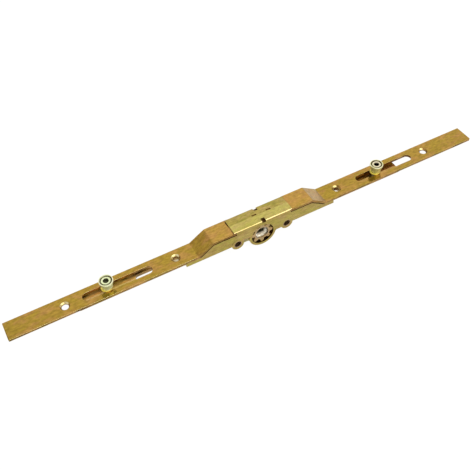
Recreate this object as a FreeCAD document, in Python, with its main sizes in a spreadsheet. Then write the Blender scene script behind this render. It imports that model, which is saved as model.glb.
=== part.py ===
import FreeCAD, Part
import math
import os

import Sketcher

# Espagnolette bolt: a narrow faceplate with a geared centre case that drives two hidden rods.
# Frame: the origin is the spindle axis at the middle of the width, +X runs along the faceplate,
# +Y along the spindle from the front wall to the back wall, +Z out of the faceplate to the rollers.
# The rest position is the one end of the travel, where both rods stand furthest to -X.

# Driving dimensions in millimetres (angles in degrees, counts plain).
SIZES = [
    ("plate_offset", 1.4, "spindle axis to the middle of the faceplate's length, towards +X"),
    ("strip_half_length", 200.5, "middle of the faceplate to each end"),
    ("strip_width", 16.0, "faceplate width"),
    ("strip_thick", 2.0, "faceplate thickness"),
    ("plate_level", 5.0, "top of the low faceplate above the spindle axis"),
    ("raise_height", 8.2, "step from the low faceplate up to the raised part"),
    ("bend_high_x", 43.2, "upper bend of the faceplate, on its top face"),
    ("bend_low_x", 56.0, "lower bend of the faceplate, on its top face"),
    ("bend_outer_radius", 2.4, "outside radius of each bend"),
    ("bend_inner_radius", 0.6, "inside radius of each bend"),
    ("strip_corner_radius", 0.6, "corner radius of the faceplate's ends"),
    ("tongue_inner_x", 17.5, "inner end of the faceplate's tongue under the cap"),
    ("slot_inner_x", 90.0, "inner end of the roller slot"),
    ("slot_outer_x", 144.2, "outer end of the roller slot"),
    ("slot_width", 7.0, "width of the roller slot"),
    ("outer_screw_x", 157.3, "outer faceplate screw hole"),
    ("inner_screw_x", 71.0, "inner faceplate screw hole and guide bush"),
    ("plate_screw_radius", 2.6, "outer faceplate screw hole"),
    ("countersink_depth", 1.1, "depth and width of the 90 degree countersink"),
    ("cap_half_length", 25.15, "middle of the cap to each end"),
    ("cap_shift", -0.5, "middle of the cap from the middle of the faceplate's length"),
    ("cap_height", 8.8, "cap top above the low faceplate"),
    ("cap_step", 0.2, "back half's cap below the front half's"),
    ("cap_thick", 1.5, "thickness of the front half's cap flange"),
    ("cap_edge_radius", 1.0, "rounding of the cap's long edges"),
    ("cap_gap", 0.25, "seam between the case and the faceplate's inner end"),
    ("lip_gap", 0.1, "faceplate's top to the thin lip of the cap above its inner end"),
    ("strip_inner_x", 23.6, "faceplate's inner end, under the lip of the cap"),
    ("notch_x", 0.45, "middle of the cap to the notch in each long edge"),
    ("notch_width", 3.2, "notch, along the faceplate"),
    ("notch_depth", 3.3, "notch, across the faceplate"),
    ("notch_drop", 2.0, "notch, down from the cap's top"),
    ("seam_notch_shift", 2.85, "middle of the cap to midway between the two notches in its seam"),
    ("seam_notch_spacing", 12.5, "one seam notch to the other"),
    ("seam_notch_length", 4.0, "seam notch, along the faceplate"),
    ("seam_notch_width", 1.8, "seam notch, across the faceplate"),
    ("seam_notch_drop", 0.8, "seam notch, down from the back half's cap"),
    ("wall_thick", 2.0, "side wall of the case"),
    ("wing_recess", 0.15, "step from the case's middle back to its wings"),
    ("wing_seam", 1.1, "seam between a wing's top edge and the raised faceplate"),
    ("wing_tip_x", 64.8, "spindle axis to the tip of each wing"),
    ("wing_drop", 0.5, "wing's lower edge below the spindle axis"),
    ("valley_drop", 2.0, "case floor below the spindle axis"),
    ("floor_thick", 1.1, "case floor"),
    ("relief_depth", 0.9, "shallow relief in each wall, on the left of the gear"),
    ("relief_top", 2.2, "top of the relief above the spindle axis"),
    ("gear_boss_radius", 11.6, "outside of the round boss over the pinion"),
    ("cradle_clearance", 0.1, "pinion tooth tips to the inside of the boss"),
    ("boss_fillet", 2.0, "fillet between the boss and the case floor"),
    ("screw_spacing", 43.0, "handle screw to handle screw, across the spindle"),
    ("screw_hole_radius", 2.75, "bore of the screw sleeve"),
    ("sleeve_wall", 0.75, "wall of the screw sleeve"),
    ("screw_boss_wall", 1.7, "round boss on the case wall, beyond the screw sleeve"),
    ("pinion_teeth", 8, "teeth on the pinion"),
    ("pinion_pitch_radius", 8.0, "pitch radius of the pinion"),
    ("pressure_angle", 25.0, "pressure angle of pinion and rack, in degrees"),
    ("pinion_addendum", 1.9, "pinion tooth, pitch circle to tip"),
    ("pinion_dedendum", 1.15, "pinion tooth, pitch circle to root"),
    ("pinion_tooth_share", 0.485, "share of the tooth pitch that a pinion tooth fills, a plain number"),
    ("tooth_backlash", 0.18, "play between the teeth of pinion and rack"),
    ("pinion_end_play", 0.1, "pinion shoulder to the case wall, each side"),
    ("journal_step", 0.45, "pinion's turned-down ends below its tooth tips"),
    ("journal_clearance", 0.1, "pinion's ends to the wall's opening"),
    ("journal_recess", 1.1, "pinion's end face back from the case's face"),
    ("hub_rim", 1.45, "tooth roots in to the shallow recess in each end of the pinion"),
    ("hub_recess_depth", 2.6, "depth of that recess"),
    ("spindle_square", 7.0, "square hole for the handle's spindle"),
    ("handle_turn", 180.0, "whole turn of the handle, in degrees"),
    ("rack_teeth", 6, "teeth on the rack"),
    ("rack_addendum", 1.0, "rack tooth, pitch line to tip"),
    ("rack_dedendum", 2.0, "rack tooth, pitch line to root"),
    ("rack_side_clearance", 0.3, "rack to the case wall, each side"),
    ("rack_land", 0.1, "root of the last tooth to where the rack gets thicker"),
    ("rod_tooth_clearance", 0.2, "pinion's tooth tips to the rod's inner end, at the end of the travel"),
    ("rivet_radius", 1.3, "shank of the rod rivets"),
    ("rivet_head_radius", 1.8, "head of the rod rivets"),
    ("rivet_edge", 0.4, "rod's inner end to the head of the first rivet"),
    ("rivet_spacing", 4.1, "first to second rivet"),
    ("rack_end_margin", 1.8, "second rivet to the rack's end"),
    ("rivet_head_thick", 0.8, "head of the rod rivets"),
    ("run_clearance", 0.1, "rack and rod to the faces they run along"),
    ("rod_thick", 2.4, "rod thickness"),
    ("rod_side_clearance", 0.9, "rod to the case wall, each side"),
    ("rod_gap", 1.7, "low faceplate's underside to the rod's top"),
    ("rod_high_drop", 2.6, "raised end of the rod below the raised faceplate's underside"),
    ("joggle_start", 3.6, "rack's end to the upper bend of the rod"),
    ("joggle_run", 11.6, "upper to lower bend of the rod, along the rod"),
    ("rod_left_end", 147.6, "spindle axis to the left rod's outer end, at rest"),
    ("rod_right_end", 131.2, "spindle axis to the right rod's outer end, at rest"),
    ("rod_corner_radius", 0.8, "corner radius of each rod's outer end"),
    ("guide_clearance", 0.15, "bush to the sides of the rod's guide slot"),
    ("guide_margin", 0.5, "bush to the ends of the rod's guide slot"),
    ("guide_overrun", 4.2, "extra length at the left rod's outer slot end"),
    ("bush_radius", 2.65, "guide bush, outside"),
    ("bush_bore_radius", 2.25, "guide bush, screw hole"),
    ("bush_flange_radius", 3.9, "bush above and below the rod, like a spool"),
    ("bush_flange_thick", 0.8, "thickness of the flange below the rod"),
    ("roller_left_x", 123.5, "spindle axis to the left roller's axis, at rest"),
    ("roller_right_x", 110.4, "spindle axis to the right roller's axis, at rest"),
    ("eccentricity", 0.8, "roller axis from the stud's shank axis"),
    ("roller_height", 8.2, "roller top above the low faceplate"),
    ("roller_top_radius", 5.35, "roller's lip"),
    ("roller_lip", 1.2, "height of the roller's lip"),
    ("roller_neck_radius", 5.1, "roller just below its lip"),
    ("roller_waist_radius", 4.0, "roller's foot"),
    ("roller_foot", 0.8, "height of the roller's foot"),
    ("roller_recess_radius", 4.3, "recess in the roller's top"),
    ("stud_shank_radius", 3.0, "stud's shank through rod and collar"),
    ("stud_journal_radius", 2.6, "stud's journal inside the roller"),
    ("stud_clearance", 0.05, "running clearance of shank and journal"),
    ("stud_head_radius", 3.6, "stud's head in the roller's recess"),
    ("stud_head_thick", 0.9, "stud's head"),
    ("stud_head_sink", 0.3, "stud's head below the roller's top"),
    ("socket_across", 4.0, "hexagon socket across its flats"),
    ("socket_depth", 3.2, "depth of the hexagon socket"),
    ("collar_radius", 4.1, "collar between plate and roller"),
    ("collar_thick", 1.2, "collar"),
    ("washer_radius", 4.0, "washer under the rod"),
    ("washer_thick", 0.8, "washer under the rod"),
    ("peen_radius", 3.5, "stud's closed end below the washer"),
    ("peen_thick", 0.6, "stud's closed end below the washer"),
]

doc = FreeCAD.newDocument("espagnolette_bolt")
sheet = doc.addObject("Spreadsheet::Sheet", "dims")
for row, (alias, size, meaning) in enumerate(SIZES, start=1):
    sheet.set(f"A{row}", alias)
    sheet.set(f"B{row}", str(size))
    sheet.setAlias(f"B{row}", alias)
    sheet.set(f"C{row}", meaning)
doc.recompute()

# Levels and lengths that several pieces share, as expressions on the sheet.
HALF_WIDTH = "dims.strip_width / 2"
LOW_TOP = "dims.plate_level"
LOW_UNDER = "(dims.plate_level - dims.strip_thick)"
HIGH_TOP = "(dims.plate_level + dims.raise_height)"
HIGH_UNDER = f"({HIGH_TOP} - dims.strip_thick)"
CAP_TOP = "(dims.plate_level + dims.cap_height)"
CAP_UNDER = f"({CAP_TOP} - dims.cap_thick)"
WALL_INSIDE = f"({HALF_WIDTH} - dims.wall_thick)"
# A bent sheet's underside corners lie this far inwards of its top corners.
BEND_RUN = "(dims.bend_low_x - dims.bend_high_x)"
BEND_LENGTH = f"sqrt({BEND_RUN} ^ 2 + dims.raise_height ^ 2)"
BEND_SHIFT = f"(dims.strip_thick * ({BEND_LENGTH} - {BEND_RUN}) / dims.raise_height)"
HIGH_UNDER_X = f"(dims.bend_high_x - {BEND_SHIFT})"
LOW_UNDER_X = f"(dims.bend_low_x - {BEND_SHIFT})"
CAP_MIDDLE = "(dims.plate_offset + dims.cap_shift)"
CAP_LEFT = f"({CAP_MIDDLE} - dims.cap_half_length)"
CAP_RIGHT = f"({CAP_MIDDLE} + dims.cap_half_length)"
# The case's full thickness ends, and its wings start, just short of the faceplates' inner ends.
WING_START = "(dims.strip_inner_x - dims.cap_gap)"
SCREW_X = "dims.screw_spacing / 2"
SLEEVE_RADIUS = "(dims.screw_hole_radius + dims.sleeve_wall)"
SCREW_BOSS_RADIUS = f"({SLEEVE_RADIUS} + dims.screw_boss_wall)"
TRAVEL = "(pi * dims.pinion_pitch_radius * dims.handle_turn / 180)"
RACK_PITCH = "(2 * pi * dims.pinion_pitch_radius / dims.pinion_teeth)"
# Both gears from the pitch circle: tooth thickness is measured at the pitch circle and pitch line.
PINION_TIP = "(dims.pinion_pitch_radius + dims.pinion_addendum)"
PINION_ROOT = "(dims.pinion_pitch_radius - dims.pinion_dedendum)"
PINION_TOOTH = f"({RACK_PITCH} * dims.pinion_tooth_share)"
RACK_TOOTH = f"({RACK_PITCH} - {PINION_TOOTH} - dims.tooth_backlash)"
JOURNAL_RADIUS = f"({PINION_TIP} - dims.journal_step)"
HUB_RECESS_RADIUS = f"({PINION_ROOT} - dims.hub_rim)"
RACK_TOP = f"({HIGH_UNDER} - dims.run_clearance)"
ROD_LOW_TOP = f"({LOW_UNDER} - dims.rod_gap)"
ROD_LOW_UNDER = f"({ROD_LOW_TOP} - dims.rod_thick)"
ROD_HIGH_TOP = f"({HIGH_UNDER} - dims.rod_high_drop)"
ROD_HIGH_UNDER = f"({ROD_HIGH_TOP} - dims.rod_thick)"
# Places along the rack and rods, measured from the middle of the rack. The rod starts clear of
# the pinion's teeth at the end of the travel, and the rivets and the rack's end follow from there.
TOOTH_SLOPE = "tan(dims.pressure_angle * 1 deg)"
TOOTH_HALF_ROOT = f"({RACK_TOOTH} / 2 + dims.rack_dedendum * {TOOTH_SLOPE})"
TOOTH_HALF_TIP = f"({RACK_TOOTH} / 2 - dims.rack_addendum * {TOOTH_SLOPE})"
RACK_STEP_X = f"({RACK_PITCH} * (dims.rack_teeth - 1) / 2 + {TOOTH_HALF_ROOT} + dims.rack_land)"
TOOTH_REACH = f"sqrt(max({PINION_TIP} ^ 2 - {ROD_HIGH_UNDER} ^ 2; 0))"
ROD_INNER_X = f"({TRAVEL} / 2 + {TOOTH_REACH} + dims.rod_tooth_clearance)"
RIVET_FIRST_X = f"({ROD_INNER_X} + dims.rivet_edge + dims.rivet_head_radius)"
RIVET_SECOND_X = f"({RIVET_FIRST_X} + dims.rivet_spacing)"
RACK_END_X = f"({RIVET_SECOND_X} + dims.rack_end_margin)"
JOGGLE_HIGH_X = f"({RACK_END_X} + dims.joggle_start)"
JOGGLE_LOW_X = f"({JOGGLE_HIGH_X} + dims.joggle_run)"
ROLLER_TOP = f"({LOW_TOP} + dims.roller_height)"
COLLAR_UNDER = f"({LOW_TOP} + dims.run_clearance)"
COLLAR_TOP = f"({COLLAR_UNDER} + dims.collar_thick)"
STUD_HEAD_TOP = f"({ROLLER_TOP} - dims.stud_head_sink)"
STUD_HEAD_UNDER = f"({STUD_HEAD_TOP} - dims.stud_head_thick)"
WASHER_TOP = f"({ROD_LOW_UNDER} - dims.stud_clearance)"
WASHER_UNDER = f"({WASHER_TOP} - dims.washer_thick)"


def worth(expression):
    """The number that an expression on the sheet gives."""
    return float(sheet.evalExpression(expression))


def plate_x(side, expression):
    """A place on the faceplate, measured from the middle of its length towards one side."""
    return f"({side} * ({expression}) + dims.plate_offset)"


# Sketch and feature helpers. Every point, radius and length is bound to the sheet.

def new_body(name):
    body = doc.addObject("PartDesign::Body", name)
    body.Label = name
    return body


def new_sketch(body, name, role, offset="0"):
    """A sketch on one of the body's own origin planes, moved along the plane's normal.

    XZ_Plane looks along +Y, so its normal, and a positive offset, point to -Y.
    """
    sketch = body.newObject("Sketcher::SketchObject", name)
    plane = next(f for f in body.Origin.OriginFeatures if f.Role == role)
    sketch.AttachmentSupport = [(plane, "")]
    sketch.MapMode = "FlatFace"
    sketch.setExpression("AttachmentOffset.Base.z", offset)
    return sketch


def bind(sketch, constraint, name, expression):
    index = sketch.addConstraint(constraint)
    sketch.renameConstraint(index, name)
    sketch.setExpression("Constraints." + name, expression)


def hold_point(sketch, geometry, end, x, y):
    """Holds one point of a sketch at two expressions; a plain "0" puts it on the axis."""
    for axis, axis_geometry, expression in (("X", -2, x), ("Y", -1, y)):
        if expression == "0":
            sketch.addConstraint(Sketcher.Constraint("PointOnObject", geometry, end, axis_geometry))
        else:
            distance = Sketcher.Constraint("Distance" + axis, -1, 1, geometry, end, worth(expression))
            bind(sketch, distance, f"{axis.lower()}_{geometry}_{end}", expression)


def draw_outline(sketch, points):
    """A closed outline of straight lines through points given as pairs of expressions."""
    places = [FreeCAD.Vector(worth(x), worth(y), 0) for x, y in points]
    lines = [sketch.addGeometry(Part.LineSegment(start, end))
             for start, end in zip(places, places[1:] + places[:1])]
    for line, following in zip(lines, lines[1:] + lines[:1]):
        sketch.addConstraint(Sketcher.Constraint("Coincident", line, 2, following, 1))
    for line, (x, y) in zip(lines, points):
        hold_point(sketch, line, 1, x, y)


def draw_box(sketch, x_low, x_high, y_low, y_high):
    draw_outline(sketch, [(x_low, y_low), (x_high, y_low), (x_high, y_high), (x_low, y_high)])


def draw_circle(sketch, x, y, radius):
    centre = FreeCAD.Vector(worth(x), worth(y), 0)
    round_line = sketch.addGeometry(Part.Circle(centre, FreeCAD.Vector(0, 0, 1), worth(radius)))
    hold_point(sketch, round_line, 3, x, y)
    bind(sketch, Sketcher.Constraint("Radius", round_line, worth(radius)), f"r_{round_line}", radius)


def draw_slot(sketch, x_low, x_high, radius):
    """A slot along the sketch's X axis with half-round ends at x_low and x_high."""
    low, high, r = worth(x_low) + worth(radius), worth(x_high) - worth(radius), worth(radius)
    normal = FreeCAD.Vector(0, 0, 1)
    left_circle = Part.Circle(FreeCAD.Vector(low, 0, 0), normal, r)
    right_circle = Part.Circle(FreeCAD.Vector(high, 0, 0), normal, r)
    left = sketch.addGeometry(Part.ArcOfCircle(left_circle, math.pi / 2, 3 * math.pi / 2))
    right = sketch.addGeometry(Part.ArcOfCircle(right_circle, -math.pi / 2, math.pi / 2))
    below = sketch.addGeometry(Part.LineSegment(FreeCAD.Vector(low, -r, 0), FreeCAD.Vector(high, -r, 0)))
    above = sketch.addGeometry(Part.LineSegment(FreeCAD.Vector(high, r, 0), FreeCAD.Vector(low, r, 0)))
    hold_point(sketch, left, 3, f"{x_low} + {radius}", "0")
    hold_point(sketch, right, 3, f"{x_high} - {radius}", "0")
    for arc in (left, right):
        bind(sketch, Sketcher.Constraint("Radius", arc, r), f"r_{arc}", radius)
        sketch.addConstraint(Sketcher.Constraint("Vertical", arc, 1, arc, 3))
        sketch.addConstraint(Sketcher.Constraint("Vertical", arc, 2, arc, 3))
    for line, start_arc, end_arc in ((below, left, right), (above, right, left)):
        sketch.addConstraint(Sketcher.Constraint("Coincident", line, 1, start_arc, 2))
        sketch.addConstraint(Sketcher.Constraint("Coincident", line, 2, end_arc, 1))


def draw_cradle(sketch, inside, outside, level):
    """The part of a ring round the sketch's origin that lies below a level."""
    origin = FreeCAD.Vector(0, 0, 0)
    arcs = []
    for radius in (inside, outside):
        r = worth(radius)
        below = -math.asin(-worth(level) / r)
        whole = Part.Circle(origin, FreeCAD.Vector(0, 0, 1), r)
        arc = sketch.addGeometry(Part.ArcOfCircle(whole, math.pi - below, 2 * math.pi + below))
        sketch.addConstraint(Sketcher.Constraint("Coincident", arc, 3, -1, 1))
        bind(sketch, Sketcher.Constraint("Radius", arc, r), f"r_{arc}", radius)
        for end in (1, 2):
            distance = Sketcher.Constraint("DistanceY", -1, 1, arc, end, worth(level))
            bind(sketch, distance, f"y_{arc}_{end}", level)
        arcs.append(arc)
    inner_arc, outer_arc = (sketch.Geometry[arc] for arc in arcs)
    for end, start_point, end_point in ((1, inner_arc.StartPoint, outer_arc.StartPoint),
                                        (2, inner_arc.EndPoint, outer_arc.EndPoint)):
        line = sketch.addGeometry(Part.LineSegment(start_point, end_point))
        sketch.addConstraint(Sketcher.Constraint("Coincident", line, 1, arcs[0], end))
        sketch.addConstraint(Sketcher.Constraint("Coincident", line, 2, arcs[1], end))


def pad(body, sketch, length, reverse=False, both_ways=False):
    feature = body.newObject("PartDesign::Pad", sketch.Name + "_pad")
    feature.Profile = sketch
    feature.setExpression("Length", length)
    feature.Reversed = reverse
    if both_ways:
        feature.SideType = "Symmetric"
    return feature


def pocket(body, sketch, length=None, reverse=False):
    """Cuts a sketch out along its normal's reverse, or right through both ways without a length."""
    feature = body.newObject("PartDesign::Pocket", sketch.Name + "_pocket")
    feature.Profile = sketch
    if length is None:
        feature.SideType = "Symmetric"
        feature.Type = "ThroughAll"
    else:
        feature.setExpression("Length", length)
        feature.Reversed = reverse
    return feature


def turn(body, sketch):
    """A solid of revolution about the sketch's vertical axis."""
    feature = body.newObject("PartDesign::Revolution", sketch.Name + "_turned")
    feature.Profile = sketch
    feature.ReferenceAxis = (sketch, ["V_Axis"])
    feature.Angle = 360
    return feature


# A point this close to a line or a plane, in millimetres, counts as lying on it.
NEAR = 0.01


def edges_at(shape, chosen):
    """Names of the edges whose middle, first and last points satisfy a test."""
    names = []
    for number, edge in enumerate(shape.Edges, start=1):
        if edge.isNull() or edge.Length == 0:
            continue
        first, last = edge.FirstParameter, edge.LastParameter
        points = [edge.valueAt(first), edge.valueAt((first + last) / 2), edge.valueAt(last)]
        if chosen(points):
            names.append(f"Edge{number}")
    return names


def corner_edges(shape, x, z):
    """Straight edges across the width, at one corner of a side outline."""
    def chosen(points):
        return all(abs(p.x - x) < NEAR and abs(p.z - z) < NEAR for p in points)

    return edges_at(shape, chosen)


def round_edges(body, base, names, radius, label):
    if not names:
        raise RuntimeError(f"{body.Name}: no edge found for {label}")
    feature = body.newObject("PartDesign::Fillet", f"{body.Name}_{label}")
    feature.Base = (base, names)
    feature.setExpression("Radius", radius)
    doc.recompute()
    return feature


# Faceplates: one bent strip each side, with roller slot, screw holes and a coined tongue.

def make_faceplate(name, side):
    def x(expression):
        return plate_x(side, expression)

    body = new_body(name)
    profile = new_sketch(body, f"{name}_profile", "XZ_Plane")
    draw_outline(profile, [
        (x("dims.strip_inner_x"), HIGH_TOP),
        (x("dims.bend_high_x"), HIGH_TOP),
        (x("dims.bend_low_x"), LOW_TOP),
        (x("dims.strip_half_length"), LOW_TOP),
        (x("dims.strip_half_length"), LOW_UNDER),
        (x(LOW_UNDER_X), LOW_UNDER),
        (x(HIGH_UNDER_X), HIGH_UNDER),
        (x("dims.strip_inner_x"), HIGH_UNDER),
    ])
    last = pad(body, profile, "dims.strip_width", both_ways=True)
    doc.recompute()
    bends = [
        ("dims.bend_high_x", HIGH_TOP, "dims.bend_outer_radius", "upper_bend_outside"),
        (HIGH_UNDER_X, HIGH_UNDER, "dims.bend_inner_radius", "upper_bend_inside"),
        (LOW_UNDER_X, LOW_UNDER, "dims.bend_outer_radius", "lower_bend_outside"),
        ("dims.bend_low_x", LOW_TOP, "dims.bend_inner_radius", "lower_bend_inside"),
    ]
    for place, level, radius, label in bends:
        names = corner_edges(last.Shape, worth(x(place)), worth(level))
        last = round_edges(body, last, names, radius, label)

    end_x = worth(x("dims.strip_half_length"))

    def end_corner(points):
        upright = abs(points[0].z - points[2].z) > worth("dims.strip_thick") / 2
        return upright and all(abs(p.x - end_x) < NEAR for p in points)

    last = round_edges(body, last, edges_at(last.Shape, end_corner), "dims.strip_corner_radius", "ends")

    tongue = new_sketch(body, f"{name}_tongue", "XZ_Plane")
    draw_box(tongue, x("dims.tongue_inner_x"), x("dims.strip_inner_x"), HIGH_UNDER, CAP_UNDER)
    tongue_width = f"2 * ({WALL_INSIDE} - dims.cap_gap)"
    pad(body, tongue, tongue_width, both_ways=True)

    slot = new_sketch(body, f"{name}_slot", "XY_Plane")
    ends = sorted([x("dims.slot_inner_x"), x("dims.slot_outer_x")], key=worth)
    draw_slot(slot, ends[0], ends[1], "dims.slot_width / 2")
    pocket(body, slot)

    holes = new_sketch(body, f"{name}_holes", "XY_Plane")
    draw_circle(holes, x("dims.outer_screw_x"), "0", "dims.plate_screw_radius")
    draw_circle(holes, x("dims.inner_screw_x"), "0", "dims.bush_radius")
    last = pocket(body, holes)
    doc.recompute()

    top = worth(LOW_TOP)
    places = [worth(x("dims.outer_screw_x")), worth(x("dims.inner_screw_x"))]

    def hole_rim(points):
        level = all(abs(p.z - top) < NEAR for p in points)
        reach = worth("dims.bush_radius") + worth("dims.plate_screw_radius")
        return level and any(all(math.hypot(p.x - place, p.y) < reach for p in points) for place in places)

    sink = body.newObject("PartDesign::Chamfer", f"{name}_countersinks")
    sink.Base = (last, edges_at(last.Shape, hole_rim))
    sink.setExpression("Size", "dims.countersink_depth")
    return body


# Case halves: side wall with tapering wings, round bosses, floor and half of the cap.

def make_case_half(name, side):
    """side is -1 for the front half (towards -Y) and 1 for the back half."""
    front = side < 0
    cap_top = CAP_TOP if front else f"({CAP_TOP} - dims.cap_step)"

    def y(expression):
        return f"{side} * ({expression})"

    def wall_sketch(label, inside):
        # A positive offset on the XZ plane points to -Y.
        return new_sketch(body, f"{name}_{label}", "XZ_Plane", f"{-side} * ({inside})")

    body = new_body(name)
    outward = {"reverse": not front}
    cut_outward = {"reverse": front}
    wing_low = "-dims.wing_drop"

    middle = wall_sketch("middle", WALL_INSIDE)
    middle_left = plate_x(-1, WING_START)
    middle_right = plate_x(1, WING_START)
    draw_outline(middle, [
        (middle_left, cap_top), (middle_left, wing_low), (f"-{SCREW_X}", wing_low),
        (f"-{SCREW_X}", "-dims.valley_drop"), (SCREW_X, "-dims.valley_drop"),
        (SCREW_X, wing_low), (middle_right, wing_low), (middle_right, cap_top),
    ])
    pad(body, middle, "dims.wall_thick", **outward)
    relief = wall_sketch("relief", f"({HALF_WIDTH} - dims.relief_depth)")
    draw_box(relief, f"-{SCREW_X}", f"-{PINION_TIP}", "-dims.valley_drop", "dims.relief_top")
    pocket(body, relief, "dims.relief_depth + 1", **cut_outward)

    for hand, label in ((-1, "left"), (1, "right")):
        wing = wall_sketch(f"wing_{label}", WALL_INSIDE)
        slope = f"(dims.raise_height / {BEND_RUN})"
        wing_top = f"({HIGH_UNDER} - dims.wing_seam)"
        foot_x = f"({HIGH_UNDER_X} + ({wing_top} - {LOW_UNDER}) / {slope})"
        start, tip = plate_x(hand, WING_START), f"{hand} * dims.wing_tip_x"
        draw_outline(wing, [
            (start, wing_top), (plate_x(hand, HIGH_UNDER_X), wing_top),
            (plate_x(hand, foot_x), LOW_UNDER), (tip, LOW_UNDER), (tip, wing_low), (start, wing_low),
        ])
        pad(body, wing, "dims.wall_thick - dims.wing_recess", **outward)

    gear_boss = wall_sketch("gear_boss", WALL_INSIDE)
    draw_circle(gear_boss, "0", "0", "dims.gear_boss_radius")
    pad(body, gear_boss, "dims.wall_thick", **outward)

    cradle = wall_sketch("cradle", "0")
    floor_top = "(dims.floor_thick - dims.valley_drop)"
    cradle_inside = f"({PINION_TIP} + dims.cradle_clearance)"
    draw_cradle(cradle, cradle_inside, "dims.gear_boss_radius", floor_top)
    pad(body, cradle, WALL_INSIDE, **outward)

    for hand, label in ((-1, "left"), (1, "right")):
        floor = wall_sketch(f"floor_{label}", "0")
        floor_inside = f"(({cradle_inside} + dims.gear_boss_radius) / 2)"
        ends = sorted([f"{hand} * {floor_inside}", f"{hand} * {SCREW_X}"], key=worth)
        draw_box(floor, ends[0], ends[1], "-dims.valley_drop", floor_top)
        pad(body, floor, WALL_INSIDE, **outward)
        boss = wall_sketch(f"screw_boss_{label}", WALL_INSIDE)
        draw_circle(boss, f"{hand} * {SCREW_X}", "0", SCREW_BOSS_RADIUS)
        pad(body, boss, "dims.wall_thick", **outward)

    flange = new_sketch(body, f"{name}_cap", "XY_Plane", CAP_UNDER)
    draw_box(flange, CAP_LEFT, CAP_RIGHT, *sorted([y("0"), y(HALF_WIDTH)], key=worth))
    last = pad(body, flange, f"{cap_top} - {CAP_UNDER}")
    doc.recompute()

    def long_edge(points):
        outside = side * worth(HALF_WIDTH)
        top = worth(cap_top)
        return all(abs(p.y - outside) < NEAR and abs(p.z - top) < NEAR for p in points)

    last = round_edges(body, last, edges_at(last.Shape, long_edge), "dims.cap_edge_radius", "cap_edge")
    root_x = worth("sqrt(dims.gear_boss_radius ^ 2 - dims.valley_drop ^ 2)")
    roots = []
    for hand in (-1, 1):
        roots += corner_edges(last.Shape, hand * root_x, worth("-dims.valley_drop"))
    last = round_edges(body, last, roots, "dims.boss_fillet", "boss_roots")

    notch = new_sketch(body, f"{name}_notch", "XY_Plane", cap_top)
    notch_ends = [f"({CAP_MIDDLE} + dims.notch_x + {hand} * dims.notch_width / 2)" for hand in (-1, 1)]
    notch_sides = sorted([y(f"{HALF_WIDTH} - dims.notch_depth"), y(f"{HALF_WIDTH} + 1")], key=worth)
    draw_box(notch, *notch_ends, *notch_sides)
    pocket(body, notch, "dims.notch_drop")
    if not front:
        seam = new_sketch(body, f"{name}_seam_notches", "XY_Plane", cap_top)
        for hand in (-1, 1):
            middle_x = f"({CAP_MIDDLE} + dims.seam_notch_shift + {hand} * dims.seam_notch_spacing / 2)"
            draw_box(seam, f"({middle_x} - dims.seam_notch_length / 2)",
                     f"({middle_x} + dims.seam_notch_length / 2)", "-1", "dims.seam_notch_width")
        pocket(body, seam, "dims.seam_notch_drop")

    lip_under = f"({HIGH_TOP} + dims.lip_gap)"
    lips = new_sketch(body, f"{name}_lips", "XY_Plane", lip_under)
    lip_sides = sorted([y("0"), y(f"{HALF_WIDTH} + 1")], key=worth)
    draw_box(lips, f"({CAP_LEFT} - 1)", middle_left, *lip_sides)
    draw_box(lips, middle_right, f"({CAP_RIGHT} + 1)", *lip_sides)
    pocket(body, lips, f"{lip_under} - {HIGH_UNDER}")

    openings = wall_sketch("openings", "0")
    draw_circle(openings, "0", "0", f"({JOURNAL_RADIUS} + dims.journal_clearance)")
    for hand in (-1, 1):
        draw_circle(openings, f"{hand} * {SCREW_X}", "0", SLEEVE_RADIUS)
    pocket(body, openings, f"{HALF_WIDTH} + 1", **cut_outward)
    return body


def make_screw_sleeve(name, side):
    """A tube through both case halves that a handle screw passes through."""
    body = new_body(name)
    ring = new_sketch(body, f"{name}_ring", "XZ_Plane")
    draw_circle(ring, "0", "0", SLEEVE_RADIUS)
    draw_circle(ring, "0", "0", "dims.screw_hole_radius")
    pad(body, ring, "dims.strip_width", both_ways=True)
    body.setExpression("Placement.Base.x", f"{side} * {SCREW_X}")
    return body


def make_guide_bush(name, side):
    """A spool under the faceplate: the rod slides on it, and a faceplate screw goes through it."""
    body = new_body(name)
    section = new_sketch(body, f"{name}_section", "XZ_Plane")
    flange_top = f"({ROD_LOW_UNDER} - dims.run_clearance)"
    flange_under = f"({flange_top} - dims.bush_flange_thick)"
    spacer_under = f"({ROD_LOW_TOP} + dims.run_clearance)"
    draw_outline(section, [
        ("dims.bush_bore_radius", flange_under),
        ("dims.bush_flange_radius", flange_under),
        ("dims.bush_flange_radius", flange_top),
        ("dims.bush_radius", flange_top),
        ("dims.bush_radius", spacer_under),
        ("dims.bush_flange_radius", spacer_under),
        ("dims.bush_flange_radius", LOW_UNDER),
        ("dims.bush_radius", LOW_UNDER),
        ("dims.bush_radius", f"({LOW_TOP} - dims.countersink_depth)"),
        ("dims.bush_bore_radius", f"({LOW_TOP} - dims.countersink_depth)"),
    ])
    turn(body, section)
    body.setExpression("Placement.Base.x", plate_x(side, "dims.inner_screw_x"))
    return body


# Pinion: involute teeth, turned-down ends that run in the case walls, square hole for the spindle.

def involute(angle):
    return math.tan(angle) - angle


def tooth_half_angle(radius):
    """Half the angle that a pinion tooth fills at a radius."""
    pressure = math.radians(sheet.pressure_angle)
    base = sheet.pinion_pitch_radius * math.cos(pressure)
    at_pitch = worth(PINION_TOOTH) / (2 * sheet.pinion_pitch_radius)
    at_radius = math.acos(min(1.0, base / radius))
    return at_pitch + involute(pressure) - involute(at_radius)


def gear_point(radius, angle):
    """A point of the gear's outline; angle 0 is straight up."""
    return FreeCAD.Vector(radius * math.sin(angle), 0, radius * math.cos(angle))


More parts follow.
